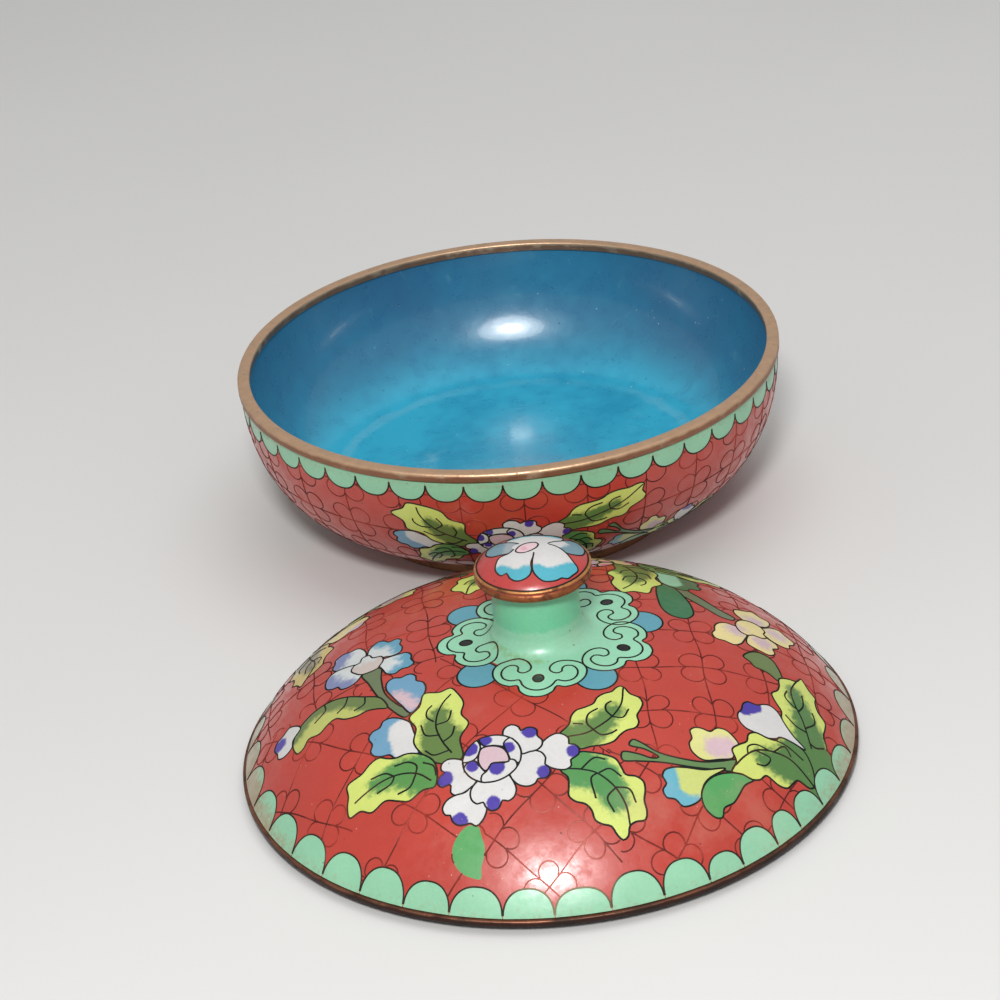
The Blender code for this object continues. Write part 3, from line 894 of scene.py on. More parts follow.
def picture_enamel(name):
    """Opaque glass between wires: its colour from the cell, clouded, speckled and pitted, then
    polished."""
    plain = {"coat_roughness": 0.19, "coat_ior": 1.45, "specular_ior_level": 0.42}
    material, bench, place = new_finish(name, **plain)
    field = bench.add("ShaderNodeAttribute", {"attribute_name": "field"}, out="Color")
    heart = bench.add("ShaderNodeAttribute", {"attribute_name": "heart"}, out="Color")
    share = bench.add("ShaderNodeAttribute", {"attribute_name": "share"}, out="Fac")
    ragged = share + (bench.noise(place, 800, 2.0) - 0.5) * 1.1
    colour = bench.mix(bench.step(ragged, 0.1, 0.9), field, heart)
    clouds = bench.noise(place, 70, 4.0)
    grain = bench.noise(place, 1300, 2.0)
    colour = bench.shaded(colour, 0.8 + clouds * 0.26 + grain * 0.14)
    wear = bench.step(bench.noise(place, 45, 5.0, 0.65), 0.54, 0.74)
    colour = bench.mix(wear * 0.16, colour, linear((190, 150, 130)))
    specks = bench.dots(place, 420, 0.09) * bench.step(bench.noise(place, 120, 2.0), 0.52, 0.6)
    pits = bench.dots(place, 260, 0.07) * bench.step(bench.noise(place, 90, 2.0), 0.46, 0.6)
    colour = bench.mix(specks * 0.4, colour, linear((216, 196, 180)))
    colour = bench.mix(pits * 0.75, colour, linear((52, 30, 26)))
    scuffs = bench.step(bench.noise(place, 240, 6.0, 0.75), 0.38, 0.66)
    ripple = bench.noise(place, 420, 3.0) * 0.36 + bench.noise(place, 1500, 2.0) * 0.07
    bench.feed(
        base_color=colour,
        roughness=0.28 + scuffs * 0.24 + wear * 0.1,
        coat_weight=0.6 - wear * 0.1 - scuffs * 0.34,
        normal=bench.bumped(clouds * 0.5 + ripple - pits * 0.5, 0.0002, 0.8),
    )
    return material


def settle(piece, slot, *replaced):
    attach(piece, "root")
    if replaced:
        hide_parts(*replaced)


lid_rings = [(NECK_DRAWN_TO + (NECK - NECK_DRAWN_TO) * step / NECK_STEPS, RING_SIDES)
             for step in range(NECK_STEPS)]
flare_turns = [math.radians(90 * step / FLARE_STEPS) for step in range(FLARE_STEPS + 1)]
lid_rings += [(NECK + FLARE - FLARE * math.cos(turn), RING_SIDES) for turn in flare_turns]
lid_rings += [(DOME_EDGE, EDGE_SIDES)]
lid_enamel = enamel_skin("lid_enamel", lid_drawing, lid_rings, picture_enamel("lid_picture_enamel"),
                         ground=RED, open_from=NECK + FLARE + 1.0)
settle(lid_enamel, "red_enamel_lid", "lid_dome")

# ---- The lid's wires ------------------------------------------------------------------------
# Flat brass ribbon, bent with tweezers and soldered on edge round every petal, leaf and scallop.
# After grinding, only its top shows, a dark line half a millimetre wide that stands just proud.

WIRE_WIDTH = 0.66
SCALLOP_WIRE_WIDTH = 0.52
WIRE_PROUD = 0.12
WIRE_SIDES = 8
FINE_WIRE_SIDES = 6


def started_tree(name, result, **given):
    """A geometry node tree with named inputs: its bench, and one term for each input."""
    tree = bpy.data.node_groups.new(name, "GeometryNodeTree")
    for label, kind in given.items():
        tree.interface.new_socket(label.replace("_", " "), in_out="INPUT", socket_type="NodeSocket" + kind)
    tree.interface.new_socket(result, in_out="OUTPUT", socket_type="NodeSocketGeometry")
    bench = Bench(tree)
    group = bench.add("NodeGroupInput").socket.node
    return bench, [Term(bench, group.outputs[k]) for k in range(len(given))]


def finished_tree(bench, shape, finish):
    """Ends a tree: its shape is shaded smooth, made real, given its finish and sent out."""
    smooth = bench.add("GeometryNodeSetShadeSmooth", None, {"Geometry": shape})
    real = bench.add("GeometryNodeRealizeInstances", None, {"Geometry": smooth})
    done = bench.add("GeometryNodeSetMaterial", None, {"Geometry": real, "Material": finish})
    bench.add("NodeGroupOutput", None, {0: done})
    return bench.tree


def wire_tree():
    """Geometry nodes: a round wire along every drawn line, its ends filled."""
    bench, (lines, radius, sides, finish) = started_tree(
        "bent_wire", "Wires", Lines="Geometry", Wire_Radius="Float", Wire_Sides="Int", Finish="Material")
    paths = bench.add("GeometryNodeMeshToCurve", None, {"Mesh": lines})
    round_section = bench.add("GeometryNodeCurvePrimitiveCircle", {"mode": "RADIUS"},
                              {"Resolution": sides, "Radius": radius})
    tubes = bench.add("GeometryNodeCurveToMesh", None,
                      {"Curve": paths, "Profile Curve": round_section, "Fill Caps": True})
    return finished_tree(bench, tubes, finish)


def grown(piece, tree, **sizes):
    """Runs a geometry node tree on a piece, and keeps its result as the piece's plain mesh."""
    modifier = piece.modifiers.new(tree.name, "NODES")
    modifier.node_group = tree
    for item in tree.interface.items_tree:
        label = item.name.lower().replace(" ", "_")
        if item.in_out == "INPUT" and label in sizes:
            modifier[item.identifier] = sizes[label]
    graph = bpy.context.evaluated_depsgraph_get()
    finished = piece.evaluated_get(graph)
    mesh = bpy.data.meshes.new_from_object(finished, preserve_all_data_layers=True, depsgraph=graph)
    piece.modifiers.remove(modifier)
    piece.data = mesh
    mesh.name = piece.name
    return piece


bent_wire = wire_tree()


def wire_piece(name, drawing, runs, width, sides, material):
    """Wires along drawn runs, sunk in the enamel so that only their tops stand out of it."""
    places = []
    edges = []
    for run in runs:
        spots, _ = on_surface(drawing, run, WIRE_PROUD - width / 2)
        add_line(places, edges, spots.tolist())
    mesh = bpy.data.meshes.new(name)
    mesh.from_pydata(places, edges, [])
    piece = grown(new_piece(name, mesh), bent_wire, wire_radius=width / 2 * MM, wire_sides=sides,
                  finish=material)
    corners = np.empty(len(piece.data.vertices) * 3)
    piece.data.vertices.foreach_get("co", corners)
    loops = np.empty(len(piece.data.loops), int)
    piece.data.loops.foreach_get("vertex_index", loops)
    plan = corners.reshape(-1, 3)[loops, :2] - np.array([0, drawing.axis_y * MM])
    brought_uv(piece.data, 0.5 + plan / (2 * drawing.plan_radius * MM))
    return piece


def wire_metal(name, dark, bright, rubbed_share, painted_glint=None, painted_glint_y=0):
    """Brass wire gone nearly black, with brighter stretches, and a paler painted highlight about one place.
    """
    material, bench, place = new_finish(name, metallic=0.15, specular_ior_level=0.25)
    rubbed = bench.step(bench.noise(place, 90, 4.0), 0.62 - 0.4 * rubbed_share, 0.86 - 0.4 * rubbed_share)
    colour = bench.mix(rubbed, linear(dark), linear(bright))
    # Paler about one place: a painted highlight for the key light's glint on the wires.
    if painted_glint:
        from_painted_glint = bench.from_axis(place, painted_glint_y) + (bench.noise(place, 160, 3.0) - 0.5) * 0.012
        colour = bench.mix(bench.step(from_painted_glint, 0.004, 0.015), linear(painted_glint), colour)
    colour = bench.shaded(colour, 0.8 + bench.noise(place, 1500) * 0.4)
    bench.feed(base_color=colour, roughness=0.62 - rubbed * 0.15)
    return material


outline_metal = wire_metal("dark_outline_wire", dark=(15, 23, 17), bright=(70, 44, 30), rubbed_share=0.42)
lid_wires = wire_piece("lid_outline_wires", lid_drawing, lid_drawing.runs(lid_drawing.wires), WIRE_WIDTH,
                       WIRE_SIDES, outline_metal)
settle(lid_wires, "red_enamel_lid")
# Paler near the front, where the key light's glint on the scallop wires is painted as a highlight.
scallop_metal = wire_metal("brown_scallop_wire", dark=(40, 30, 22), bright=(88, 60, 38), rubbed_share=0.4,
                           painted_glint=(132, 120, 90), painted_glint_y=LID_Y - 70)
lid_scallops = wire_piece("lid_scallop_wires", lid_drawing, lid_drawing.runs(lid_drawing.scallops),
                          SCALLOP_WIRE_WIDTH, WIRE_SIDES, scallop_metal)
settle(lid_scallops, "red_enamel_lid")

# ---- The lid's ground lattice ---------------------------------------------------------------
# Finer wire that keys the red ground to the copper: crossing lines with four small lobes at
# each crossing. It is laid in five patches, each with its own slant, that part behind the sprays.
# A patch is a crossing on the skin laid flat, a slant, a pitch and the middles of its ground.

LATTICE_WIDTH = 0.44
LOBE_RADIUS = 2.7
LOBE_CENTRE = 2.6
LOBE_HALF_SWEEP = 119
LOBE_STEPS = 12
LOBE_WOBBLE = 0.08
SAMPLES_IN_CELL = 40
LATTICE_PATCHES = [
    ((37.9, -16.7), 4, 15.6, [(28, -26), (60, -5), (0, 40), (-45, 14), (10, -5)]),
    ((-44.9, -31.1), 47, 18.3, [(-58, -30)]),
    ((-5.6, -26.2), 43, 19.0, [(-5, -28), (-28, -52)]),
    ((-3.4, -53.2), 43, 17.0, [(-4, -62)]),
    ((27.9, -71.5), 62, 16.0, [(30, -62), (52, -60)]),
]


def lengths_along(line):
    """How far along a line each of its points lies."""
    return np.append(0, np.cumsum(np.linalg.norm(np.diff(line, axis=0), axis=1)))


reach_table = np.linspace(0, DOME_EDGE, 400)
length_table = lengths_along(np.column_stack([reach_table, dome_height(reach_table)]))


def lid_from_flat(points):
    """Points on the dome's skin laid flat, by length from the crown, to the drawing."""
    length = reach_of(points)
    reach = np.interp(length, length_table, reach_table)
    return points * (reach / np.maximum(length, TINY))[:, None]


def lobes(crossing, sizes=(1, 1, 1, 1)):
    """The four small lobes at a crossing, each an open loop about its own hub."""
    for turn, size in enumerate(sizes):
        middle = 45 + 90 * turn
        hub = np.array([math.cos(math.radians(middle)), math.sin(math.radians(middle))])
        steps = np.arange(LOBE_STEPS + 1) / LOBE_STEPS
        sweep = np.radians(middle - LOBE_HALF_SWEEP + 2 * LOBE_HALF_SWEEP * steps)
        yield hub * LOBE_CENTRE * math.sqrt(2) + round_points(sweep, LOBE_RADIUS * size) + crossing


def lattice(origin, degrees, extent, pitch, wobble):
    """Lines both ways and the four lobes at each crossing, before they are put on the piece."""
    place = turned_by(degrees, origin)
    cells = math.ceil(2 * extent / pitch)
    across = np.linspace(-cells * pitch, cells * pitch, cells * SAMPLES_IN_CELL)
    rows = range(-cells, cells + 1)
    lines = []
    for row in rows:
        line = np.column_stack([across, np.full(len(across), row * pitch)])
        lines += [line, line[:, ::-1]]
        for column in rows:
            sizes = [1 + wobble * math.sin(3 * row + 5 * column + turn) for turn in range(4)]
            lines += lobes(np.array([column, row]) * pitch, sizes)
    placed = [place(line) for line in lines]
    return [line for line in placed if reach_of(line).min() < extent]


def wobbled(points):
    """The small unevenness of wire laid by hand."""
    x, y = points[:, 0], points[:, 1]
    return points + 0.3 * np.column_stack([np.sin(0.31 * y + 0.13 * x), np.sin(0.27 * x - 0.17 * y + 1)])


def patch_of(points):
    """The number of the lattice patch whose middle is nearest to each point."""
    gaps = [np.min([reach_of(points - middle) for middle in patch[3]], axis=0) for patch in LATTICE_PATCHES]
    return np.argmin(gaps, axis=0)


def ground_runs(drawing, lines, outside):
    """The parts of the lattice's lines that lie on bare ground and not outside its own area."""
    covered = drawing.hidden()
    runs = []
    for line in lines:
        runs += seen_runs(line, False, lambda points: covered(points) | outside(points))
    return runs


lid_lattice_runs = []
for number, (crossing, slant, pitch, _) in enumerate(LATTICE_PATCHES):
    patch_lines = lattice(crossing, slant, length_table[-1], pitch, LOBE_WOBBLE)
    patch_lines = [lid_from_flat(wobbled(line)) for line in patch_lines]
    lid_lattice_runs += ground_runs(lid_drawing, patch_lines, lambda points: patch_of(points) != number)
# Pale pink near the front, where the key light's glint on the ground wires is painted as a highlight.
lattice_metal = wire_metal("red_brown_ground_wire", dark=(84, 26, 20), bright=(150, 52, 40),
                           rubbed_share=0.55, painted_glint=(188, 104, 92), painted_glint_y=LID_Y - 66)
lid_lattice = wire_piece("lid_ground_wires", lid_drawing, lid_lattice_runs, LATTICE_WIDTH, FINE_WIRE_SIDES,
                         lattice_metal)
settle(lid_lattice, "red_enamel_lid")

# ---- The lid's lining -----------------------------------------------------------------------
# The inside of the lid is counter-enamelled in plain turquoise, sifted on and fired without
# wires. It keeps the pits, specks and cloudy patches that the outside loses in polishing.

LID_WALL = 1.8
SEAM_GAP = 2e-6
SHARP_CORNER = math.radians(50)
DISC_UV = (0.02, 0.49)
BAND_UV = (0.04, 0.96)


def turning_tree():
    """Geometry nodes: a section of (radius, share along, height) turned round an upright axis."""
    bench, (section, sides, axis_y, unevenness, finish) = started_tree(
        "turned_piece", "Piece", Section="Geometry", Sides="Int", Axis_Y="Float", Unevenness="Float",
        Finish="Material")
    count = bench.add("GeometryNodeAttributeDomainSize", {"component": "MESH"}, {"Geometry": section})
    grid = bench.add("GeometryNodeMeshGrid", None,
                     {"Size X": 1.0, "Size Y": 1.0, "Vertices X": sides + 1, "Vertices Y": count})
    spot_x, spot_y, _ = bench.split(bench.add("GeometryNodeInputPosition"))
    around, down = spot_x + 0.5, spot_y + 0.5
    number = bench.add("FunctionNodeFloatToInt", {"rounding_mode": "ROUND"}, {0: down * (count - 1)})
    drawn = bench.add("GeometryNodeInputPosition")
    sampled = bench.add("GeometryNodeSampleIndex", {"data_type": "FLOAT_VECTOR", "domain": "POINT"},
                        {"Geometry": section, "Value": drawn, "Index": number})
    radius, along, height = bench.split(sampled)
    marked = grid
    for label, value in (("around", around), ("along", along)):
        marked = bench.add("GeometryNodeStoreNamedAttribute", {"data_type": "FLOAT", "domain": "CORNER"},
                           {"Geometry": marked, "Name": label, "Value": value})
    turn = around * (2 * math.pi)
    cosine = bench.add("ShaderNodeMath", {"operation": "COSINE"}, {0: turn})
    sine = bench.add("ShaderNodeMath", {"operation": "SINE"}, {0: turn})

    def placed(across, up):
        sockets = {0: across * cosine, 1: across * sine + axis_y, 2: up}
        return bench.add("ShaderNodeCombineXYZ", None, sockets)

    uneven = (bench.noise(placed(radius, height), 60, 2.0) - 0.5) * 2 * unevenness
    shaped = bench.add("GeometryNodeSetPosition", None,
                       {"Geometry": marked, "Position": placed(radius + uneven, height + uneven * 0.6)})
    joined = bench.add("GeometryNodeMergeByDistance", None, {"Geometry": shaped, "Distance": SEAM_GAP})
    return finished_tree(bench, joined, finish)


turned_piece_tree = turning_tree()


def face_outwards(mesh, facing):
    """Turns a closed shape's faces outwards, or an open one's up or down, as facing is 1 or -1."""
    model = bmesh.new()
    model.from_mesh(mesh)
    if facing is None:
        bmesh.ops.recalc_face_normals(model, faces=model.faces)
    else:
        model.normal_update()
        if sum(face.normal.z * face.calc_area() for face in model.faces) * facing < 0:
            bmesh.ops.reverse_faces(model, faces=model.faces)
    model.to_mesh(mesh)
    model.free()


def turned_uv(mesh, bands):
    """UV from each corner's place around and along: a disc, or so many bands above each other."""
    around = np.empty(len(mesh.loops))
    along = np.empty(len(mesh.loops))
    mesh.attributes["around"].data.foreach_get("value", around)
    mesh.attributes["along"].data.foreach_get("value", along)
    if not bands:
        return 0.5 + round_points(around * 2 * math.pi, np.interp(along, (0, 1), DISC_UV))
    starts = np.array([polygon.loop_start for polygon in mesh.polygons])
    totals = np.array([polygon.loop_total for polygon in mesh.polygons])
    middle = np.add.reduceat(around, starts) / totals
    band = np.repeat(np.minimum(np.floor(middle * bands), bands - 1), totals)
    return np.column_stack([around * bands - band, (band + np.interp(along, (0, 1), BAND_UV)) / bands])


def turned(name, section, axis_y, material, sides, uneven=0.0, facing=None, bands=0):
    """A turned piece in metres from a section in millimetres.

    An open one faces up or down, as facing is 1 or -1, and is unwrapped as a disc. A closed one is
    unwrapped in bands.
    """
    section = np.array(section, float)
    lengths = lengths_along(section)
    drawn = np.column_stack([section[:, 0] * MM, lengths / lengths[-1], section[:, 1] * MM])
    mesh = bpy.data.meshes.new(name)
    mesh.from_pydata(drawn.tolist(), [(k, k + 1) for k in range(len(drawn) - 1)], [])
    piece = grown(new_piece(name, mesh), turned_piece_tree, sides=sides, axis_y=axis_y * MM,
                  unevenness=uneven * MM, finish=material)
    mesh = piece.data
    face_outwards(mesh, facing)
    uv = turned_uv(mesh, bands)
    for old in list(mesh.uv_layers):
        mesh.uv_layers.remove(old)
    brought_uv(mesh, uv)
    mesh.set_sharp_from_angle(angle=SHARP_CORNER)
    return piece


def offset_section(section, distance):
    """A section moved sideways by a wall's thickness, to the left of the way it runs."""
    points = np.array(section, float)
    along = np.gradient(points, axis=0)
    along /= np.linalg.norm(along, axis=1)[:, None]
    return points + distance * np.column_stack([-along[:, 1], along[:, 0]])


def plain_enamel(name, axis_y, pale, deep, painted_shade, from_radius, to_radius, strength, crease):
    """Turquoise counter-enamel: cloudy, darkened towards its edge with painted shade, with a pale ring of
    painted highlight at the crease, milky scuffs lightened as painted sheen, pits, white specks and fine
    scratches."""
    material, bench, place = new_finish(name, coat_roughness=0.08)
    clouds = bench.noise(place, 28, 5.0, 0.6)
    mottle = bench.noise(place, 170, 4.0, 0.6)
    colour = bench.mix(bench.step(clouds + (mottle - 0.5) * 0.5, 0.32, 0.68), linear(deep), linear(pale))
    # Painted shade: the colour darkens to the edge colour between from_radius and to_radius, for the shade
    # on the upper wall.
    spread = bench.from_axis(place, axis_y) + (bench.noise(place, 22, 4.0) - 0.5) * 0.006
    edge = bench.step(spread, from_radius * MM, to_radius * MM)
    edge = edge * (0.6 + bench.step(bench.noise(place, 14, 3.0), 0.35, 0.65) * 0.4)
    colour = bench.mix(edge * strength, colour, linear(painted_shade))
    # Painted highlight: a pale ring along the crease, for the lamp's soft highlight there.
    off_crease = bench.from_axis(place, axis_y) + (mottle - 0.5) * 0.004 - crease * MM
    crease_highlight = 1 - bench.step(off_crease * off_crease, 0, 5e-6)
    colour = bench.mix(crease_highlight * bench.step(clouds, 0.38, 0.6) * 0.28, colour, linear((120, 186, 204)))
    # Milky scuffs: a duller coat, and a paler colour that is painted sheen.
    scuff_and_sheen = bench.step(bench.noise(place, 36, 6.0, 0.72), 0.6, 0.8)
    colour = bench.mix(scuff_and_sheen * 0.3, colour, linear((170, 214, 222)))
    pits = bench.dots(place, 240, 0.075)
    white = bench.dots(place, 330, 0.075) * bench.step(bench.noise(place, 90, 2.0), 0.5, 0.62)
    colour = bench.mix(pits * 0.7, colour, linear((18, 58, 74)))
    colour = bench.mix(white * 0.8, colour, linear((206, 226, 222)))
    scratches = bench.noise(bench.add("ShaderNodeMapping", None, {0: place, "Scale": (1, 9, 2)}), 120, 3.0)
    scratched = bench.step(scratches, 0.62, 0.82)
    colour = bench.mix(scratched * 0.1, colour, linear((150, 205, 215)))
    bench.feed(
        base_color=colour,
        roughness=0.2 + mottle * 0.18 + scratched * 0.12,
        coat_weight=0.5 - scuff_and_sheen * 0.35,
        normal=bench.bumped(clouds * 0.9 + mottle * 0.22 - pits * 0.35, 0.0004, 0.6),
    )
    return material


dome_reach = DOME_EDGE * np.sin(np.linspace(0.02, math.pi / 2, 56))
lid_inside = offset_section(np.column_stack([dome_reach, dome_height(dome_reach)]), -LID_WALL)
lid_inside[0] = (0, DOME_FOOT + DOME_RISE - LID_WALL)
# Darker towards the rim as painted shade, with a pale ring of painted highlight at the crease radius.
lid_lining_finish = plain_enamel(
    "lid_lining_enamel", LID_Y, pale=(50, 156, 180), deep=(32, 124, 152), painted_shade=(48, 74, 104),
    from_radius=50, to_radius=72, strength=0.6, crease=40)
lid_lining = turned("lid_lining", lid_inside, LID_Y, lid_lining_finish, sides=160, facing=-1)
settle(lid_lining, "red_enamel_lid")

# ---- The lid's bare edge --------------------------------------------------------------------
# The copper edge that the enamel stops against, with a thin flange inside it that drops into
# the bowl's mouth. It is filed round; its top is painted lighter as painted highlight, and below that it is
# near-black brown as painted shade.

EDGE_REACH = 5.0
FLANGE_OUTER = 71.2
FLANGE_WIDTH = 1.2


def rounded_section(corners):
    """A closed section with its corners rounded: each corner is (radius, height, rounding)."""
    line = []
    count = len(corners)
    for number in range(count):
        before, here, after = (np.array(corners[(number + k) % count][:2], float) for k in (-1, 0, 1))
        rounding = corners[number][2]
        if rounding == 0:
            line.append(here)
            continue
        back = (before - here) / np.linalg.norm(before - here)
        on = (after - here) / np.linalg.norm(after - here)
        start, end = here + back * rounding, here + on * rounding
        for share in np.linspace(0, 1, 6):
            line.append((1 - share) ** 2 * start + 2 * share * (1 - share) * here + share ** 2 * end)
    line.append(line[0])
    return np.array(line)


def aged_metal(name, lower, upper, upper_from, upper_at, dirt, dirt_share, patches=110):
    """Copper or brass of one colour below and another above, with nicks and stained patches."""
    material, bench, place = new_finish(name, metallic=0.65)
    level = bench.split(place)[2]
    ragged = level + (bench.noise(place, 220, 4.0) - 0.5) * 0.0012
    risen = bench.step(ragged, upper_from * MM, upper_at * MM)
    stain_from = 0.62 - 0.3 * dirt_share
    stained = bench.step(bench.noise(place, patches, 5.0, 0.7), stain_from, stain_from + 0.2)
    colour = bench.mix(risen, linear(lower), linear(upper))
    colour = bench.shaded(colour, 0.8 + bench.noise(place, 350, 4.0) * 0.4)
    colour = bench.mix(stained * 0.75, colour, linear(dirt))
    nicks = bench.dots(place, 420, 0.1)
    colour = bench.mix(nicks * 0.6, colour, linear((40, 26, 20)))
    fine = bench.noise(place, 900, 4.0)
    bench.feed(
        base_color=colour,
        roughness=0.34 + fine * 0.16 + stained * 0.3,
        normal=bench.bumped(fine * 0.5 - nicks * 0.6, 0.00015),
    )
    return material


edge_section = rounded_section([
    (RIM - EDGE_REACH, EDGE_TOP, 0), (RIM, EDGE_TOP, 0.45), (RIM, DOME_FOOT, 0.3),
    (FLANGE_OUTER, DOME_FOOT, 0), (FLANGE_OUTER, 0, 0.3), (FLANGE_OUTER - FLANGE_WIDTH, 0, 0.3),
])
# Painted light: lighter above 2.9 mm as painted highlight, very dark below as painted shade.
edge_copper = aged_metal(
    "lid_edge_copper", lower=(54, 28, 21), upper=(138, 88, 64), upper_from=2.9, upper_at=3.5,
    dirt=(40, 34, 27), dirt_share=0.55)
lid_edge = turned("lid_edge", edge_section, LID_Y, edge_copper, sides=288, uneven=0.05, bands=4)
settle(lid_edge, "dark_copper_edge", "lid_edge_ring")

# ---- The knob's enamelled cap ---------------------------------------------------------------
# A domed copper disc on top of the neck, enamelled red with one open blossom: white petals with
# light blue tips about a small pink eye.

cap_core, _, CAP_UNDERSIDE, CAP_CROWN = turned_box(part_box("knob_cap"))
CAP = cap_core + 1.2
CAP_SIDE = 2.8
CAP_RIM = CAP_UNDERSIDE + CAP_SIDE
CAP_ROUNDNESS = 2.2
CAP_GROW = 1.06
CAP_SHIFT = (0.9, -0.1)
CAP_WIRE_WIDTH = 0.54
CAP_STEPS = 3
CAP_BACK_STEPS = 4
INNERMOST = 0.02
PINHOLE = 0.05
PINHOLE_SIDES = 8
CAP_TIP = (73, 162, 178)
CAP_SIDE_TIP = (104, 138, 150)
CAP_SHADED = (150, 158, 162)
CAP_RED = (176, 59, 56)
CAP_PINK = (220, 188, 194)
CAP_DEEP_PINK = (212, 158, 168)
CAP_PETALS = [
    ([(-5.9, 3.2), (-6.6, 6.4), (-4.4, 9.0), (-0.8, 9.4), (1.6, 8.6), (4.2, 9.2), (6.6, 7.4), (6.1, 4.8),
      (3, 1), (-3, 1)], WHITE, CAP_TIP, [(-5, 8.6), (-0.5, 9.2), (5.6, 8)], 1.2),
    ([(-5.8, -0.3), (-7.6, 0.1), (-9.6, 0.9), (-10.9, 3), (-10.6, 6.4), (-8.8, 8.6), (-6.4, 6.6), (-3, 2)],
     CAP_SHADED, CAP_SIDE_TIP, [(-10, 2), (-9.6, 5.4)], 3.2),
    ([(6.8, -1.2), (8.3, -1.3), (10.3, -0.3), (11.1, 2.4), (10.3, 6.2), (8.5, 7.2), (6.1, 4.8), (3, 2)],
     WHITE, CAP_SIDE_TIP, [(8.2, -0.2), (10.4, 2.4), (9, 6.2)], 2.6),
    ([(-5.8, -0.3), (-8.1, -0.9), (-9, -2.9), (-9.2, -4.6), (-8.5, -6.4), (-7.8, -7), (-6.8, -6.8),
      (-6.3, -8.2), (-5, -9.5), (-3.2, -9.6), (-1.7, -8.7), (-1.2, -7.4), (-1.2, -5.4), (-0.6, -3.5),
      (1, 0), (-1, 2), (-4, 1.6)], WHITE, CAP_TIP, [(-8.6, -5.4), (-5, -8), (-1.8, -7.6)], 1.7),
    ([(-0.9, -5.4), (-1, -7.4), (-0.4, -9), (1, -10.4), (2.8, -10.5), (4.3, -10), (5.2, -9.4),
      (6.5, -9.3), (7.8, -8), (8.9, -6.6), (9, -5.5), (8.1, -3.8), (6.8, -1.2), (4.4, 1.4), (1, 2),
      (-0.6, -3.5)], WHITE, CAP_TIP, [(0, -7.8), (3, -9), (8, -6.4)], 2.0),
]
CAP_CENTRE = [(-3.6, -0.6), (-5, 2.2), (-3, 3.4), (1.4, 3.6), (3.4, 1.4), (1.4, -1), (-0.6, -1.8)]
CAP_EYE = [(-4.3, -0.2), (-3.7, 1.4), (-2.8, 2.4), (-1.4, 3), (0.2, 3), (0.9, 2), (0.3, 0.3), (-1.4, -1),
           (-3, -1.3)]


def cap_section(reach):
    """Over the crown, down the side and then inwards under the cap."""
    crown = CAP_RIM + (CAP_CROWN - CAP_RIM) * (1 - (np.minimum(reach, CAP) / CAP) ** CAP_ROUNDNESS)
    down = np.clip(reach - CAP, 0, CAP_SIDE)
    back = np.clip(reach - CAP - CAP_SIDE, 0, CAP)
    return np.minimum(reach, CAP) - back, crown - down


cap_drawing = Drawing(INNERMOST, CAP - 0.1, cap_section, LID_Y, plan_radius=CAP)
cap_drawing.move_to(turned_by(0, CAP_SHIFT, CAP_GROW), CAP_GROW)
for outline, field, heart, spine, reach in CAP_PETALS:
    cap_drawing.lay(outline, field, heart, spine, reach, soft=1.4)
cap_drawing.lay(CAP_CENTRE, WHITE, wired=False)
cap_drawing.lay(CAP_EYE, CAP_PINK, CAP_DEEP_PINK, [(-2.4, 0.4)], 0.9)
cap_drawing.move_to()
cap_drawing.wire(ring_points(CAP - 0.3, count=48), closed=True)
cap_rings = [(PINHOLE, PINHOLE_SIDES)]
cap_rings += [(CAP + CAP_SIDE * step / CAP_STEPS, RING_SIDES) for step in range(CAP_STEPS + 1)]
cap_rings += [(CAP + CAP_SIDE + (CAP - PINHOLE) * step / CAP_BACK_STEPS, RING_SIDES)
              for step in range(1, CAP_BACK_STEPS + 1)]
knob_cap = enamel_skin("knob_cap_enamel", cap_drawing, cap_rings, picture_enamel("cap_picture_enamel"),
                       ground=CAP_RED, open_from=0.5)
settle(knob_cap, "white_and_red_enamel_cap", "knob_cap")
cap_wires = wire_piece("knob_cap_wires", cap_drawing, cap_drawing.runs(cap_drawing.wires), CAP_WIRE_WIDTH,
                       WIRE_SIDES, outline_metal)
settle(cap_wires, "white_and_red_enamel_cap")

# ---- The knob's copper band -----------------------------------------------------------------
# A drawn strip of copper soldered round the cap: a thin upper bead, a dark groove and a wider
# lower bead. The copper is orange-brown with dark mottling; the upper bead is paler as painted highlight.

BAND, _, BAND_LOW, BAND_TOP = turned_box(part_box("knob_cap_band"))


def bead(centre, radii, start, end, steps=8):
    """Part of an oval bead in the section, from one angle to another in degrees."""
    return np.array(centre) + round_points(np.radians(np.linspace(start, end, steps)), *radii)


band_section = np.vstack([
    [(CAP - 0.3, BAND_TOP - 0.2)],
    bead((BAND - 0.45, BAND_TOP - 0.5), (0.4, 0.42), 110, -60),
    bead((BAND - 0.6, BAND_LOW + 0.95), (0.6, 0.95), 80, -90, 10),
    [(CAP - 0.3, BAND_LOW), (CAP - 0.3, BAND_TOP - 0.2)],
])
# The paler colour above 51.6 mm is a painted highlight along the upper bead.
band_copper = aged_metal(
    "knob_band_copper", lower=(150, 86, 48), upper=(206, 140, 84), upper_from=51.6, upper_at=52.4,
    dirt=(56, 32, 20), dirt_share=0.55, patches=320)
knob_band = turned("knob_band", band_section, LID_Y, band_copper, sides=144, uneven=0.07, bands=3)
settle(knob_band, "orange_copper_band", "knob_cap_band")

# ---- The bowl's enamelled outside -----------------------------------------------------------
# A spun copper bowl, its outside enamelled like the lid: the red ground and lattice, a spray
# three times round, scallops under the lip, and plain turquoise inside the foot.

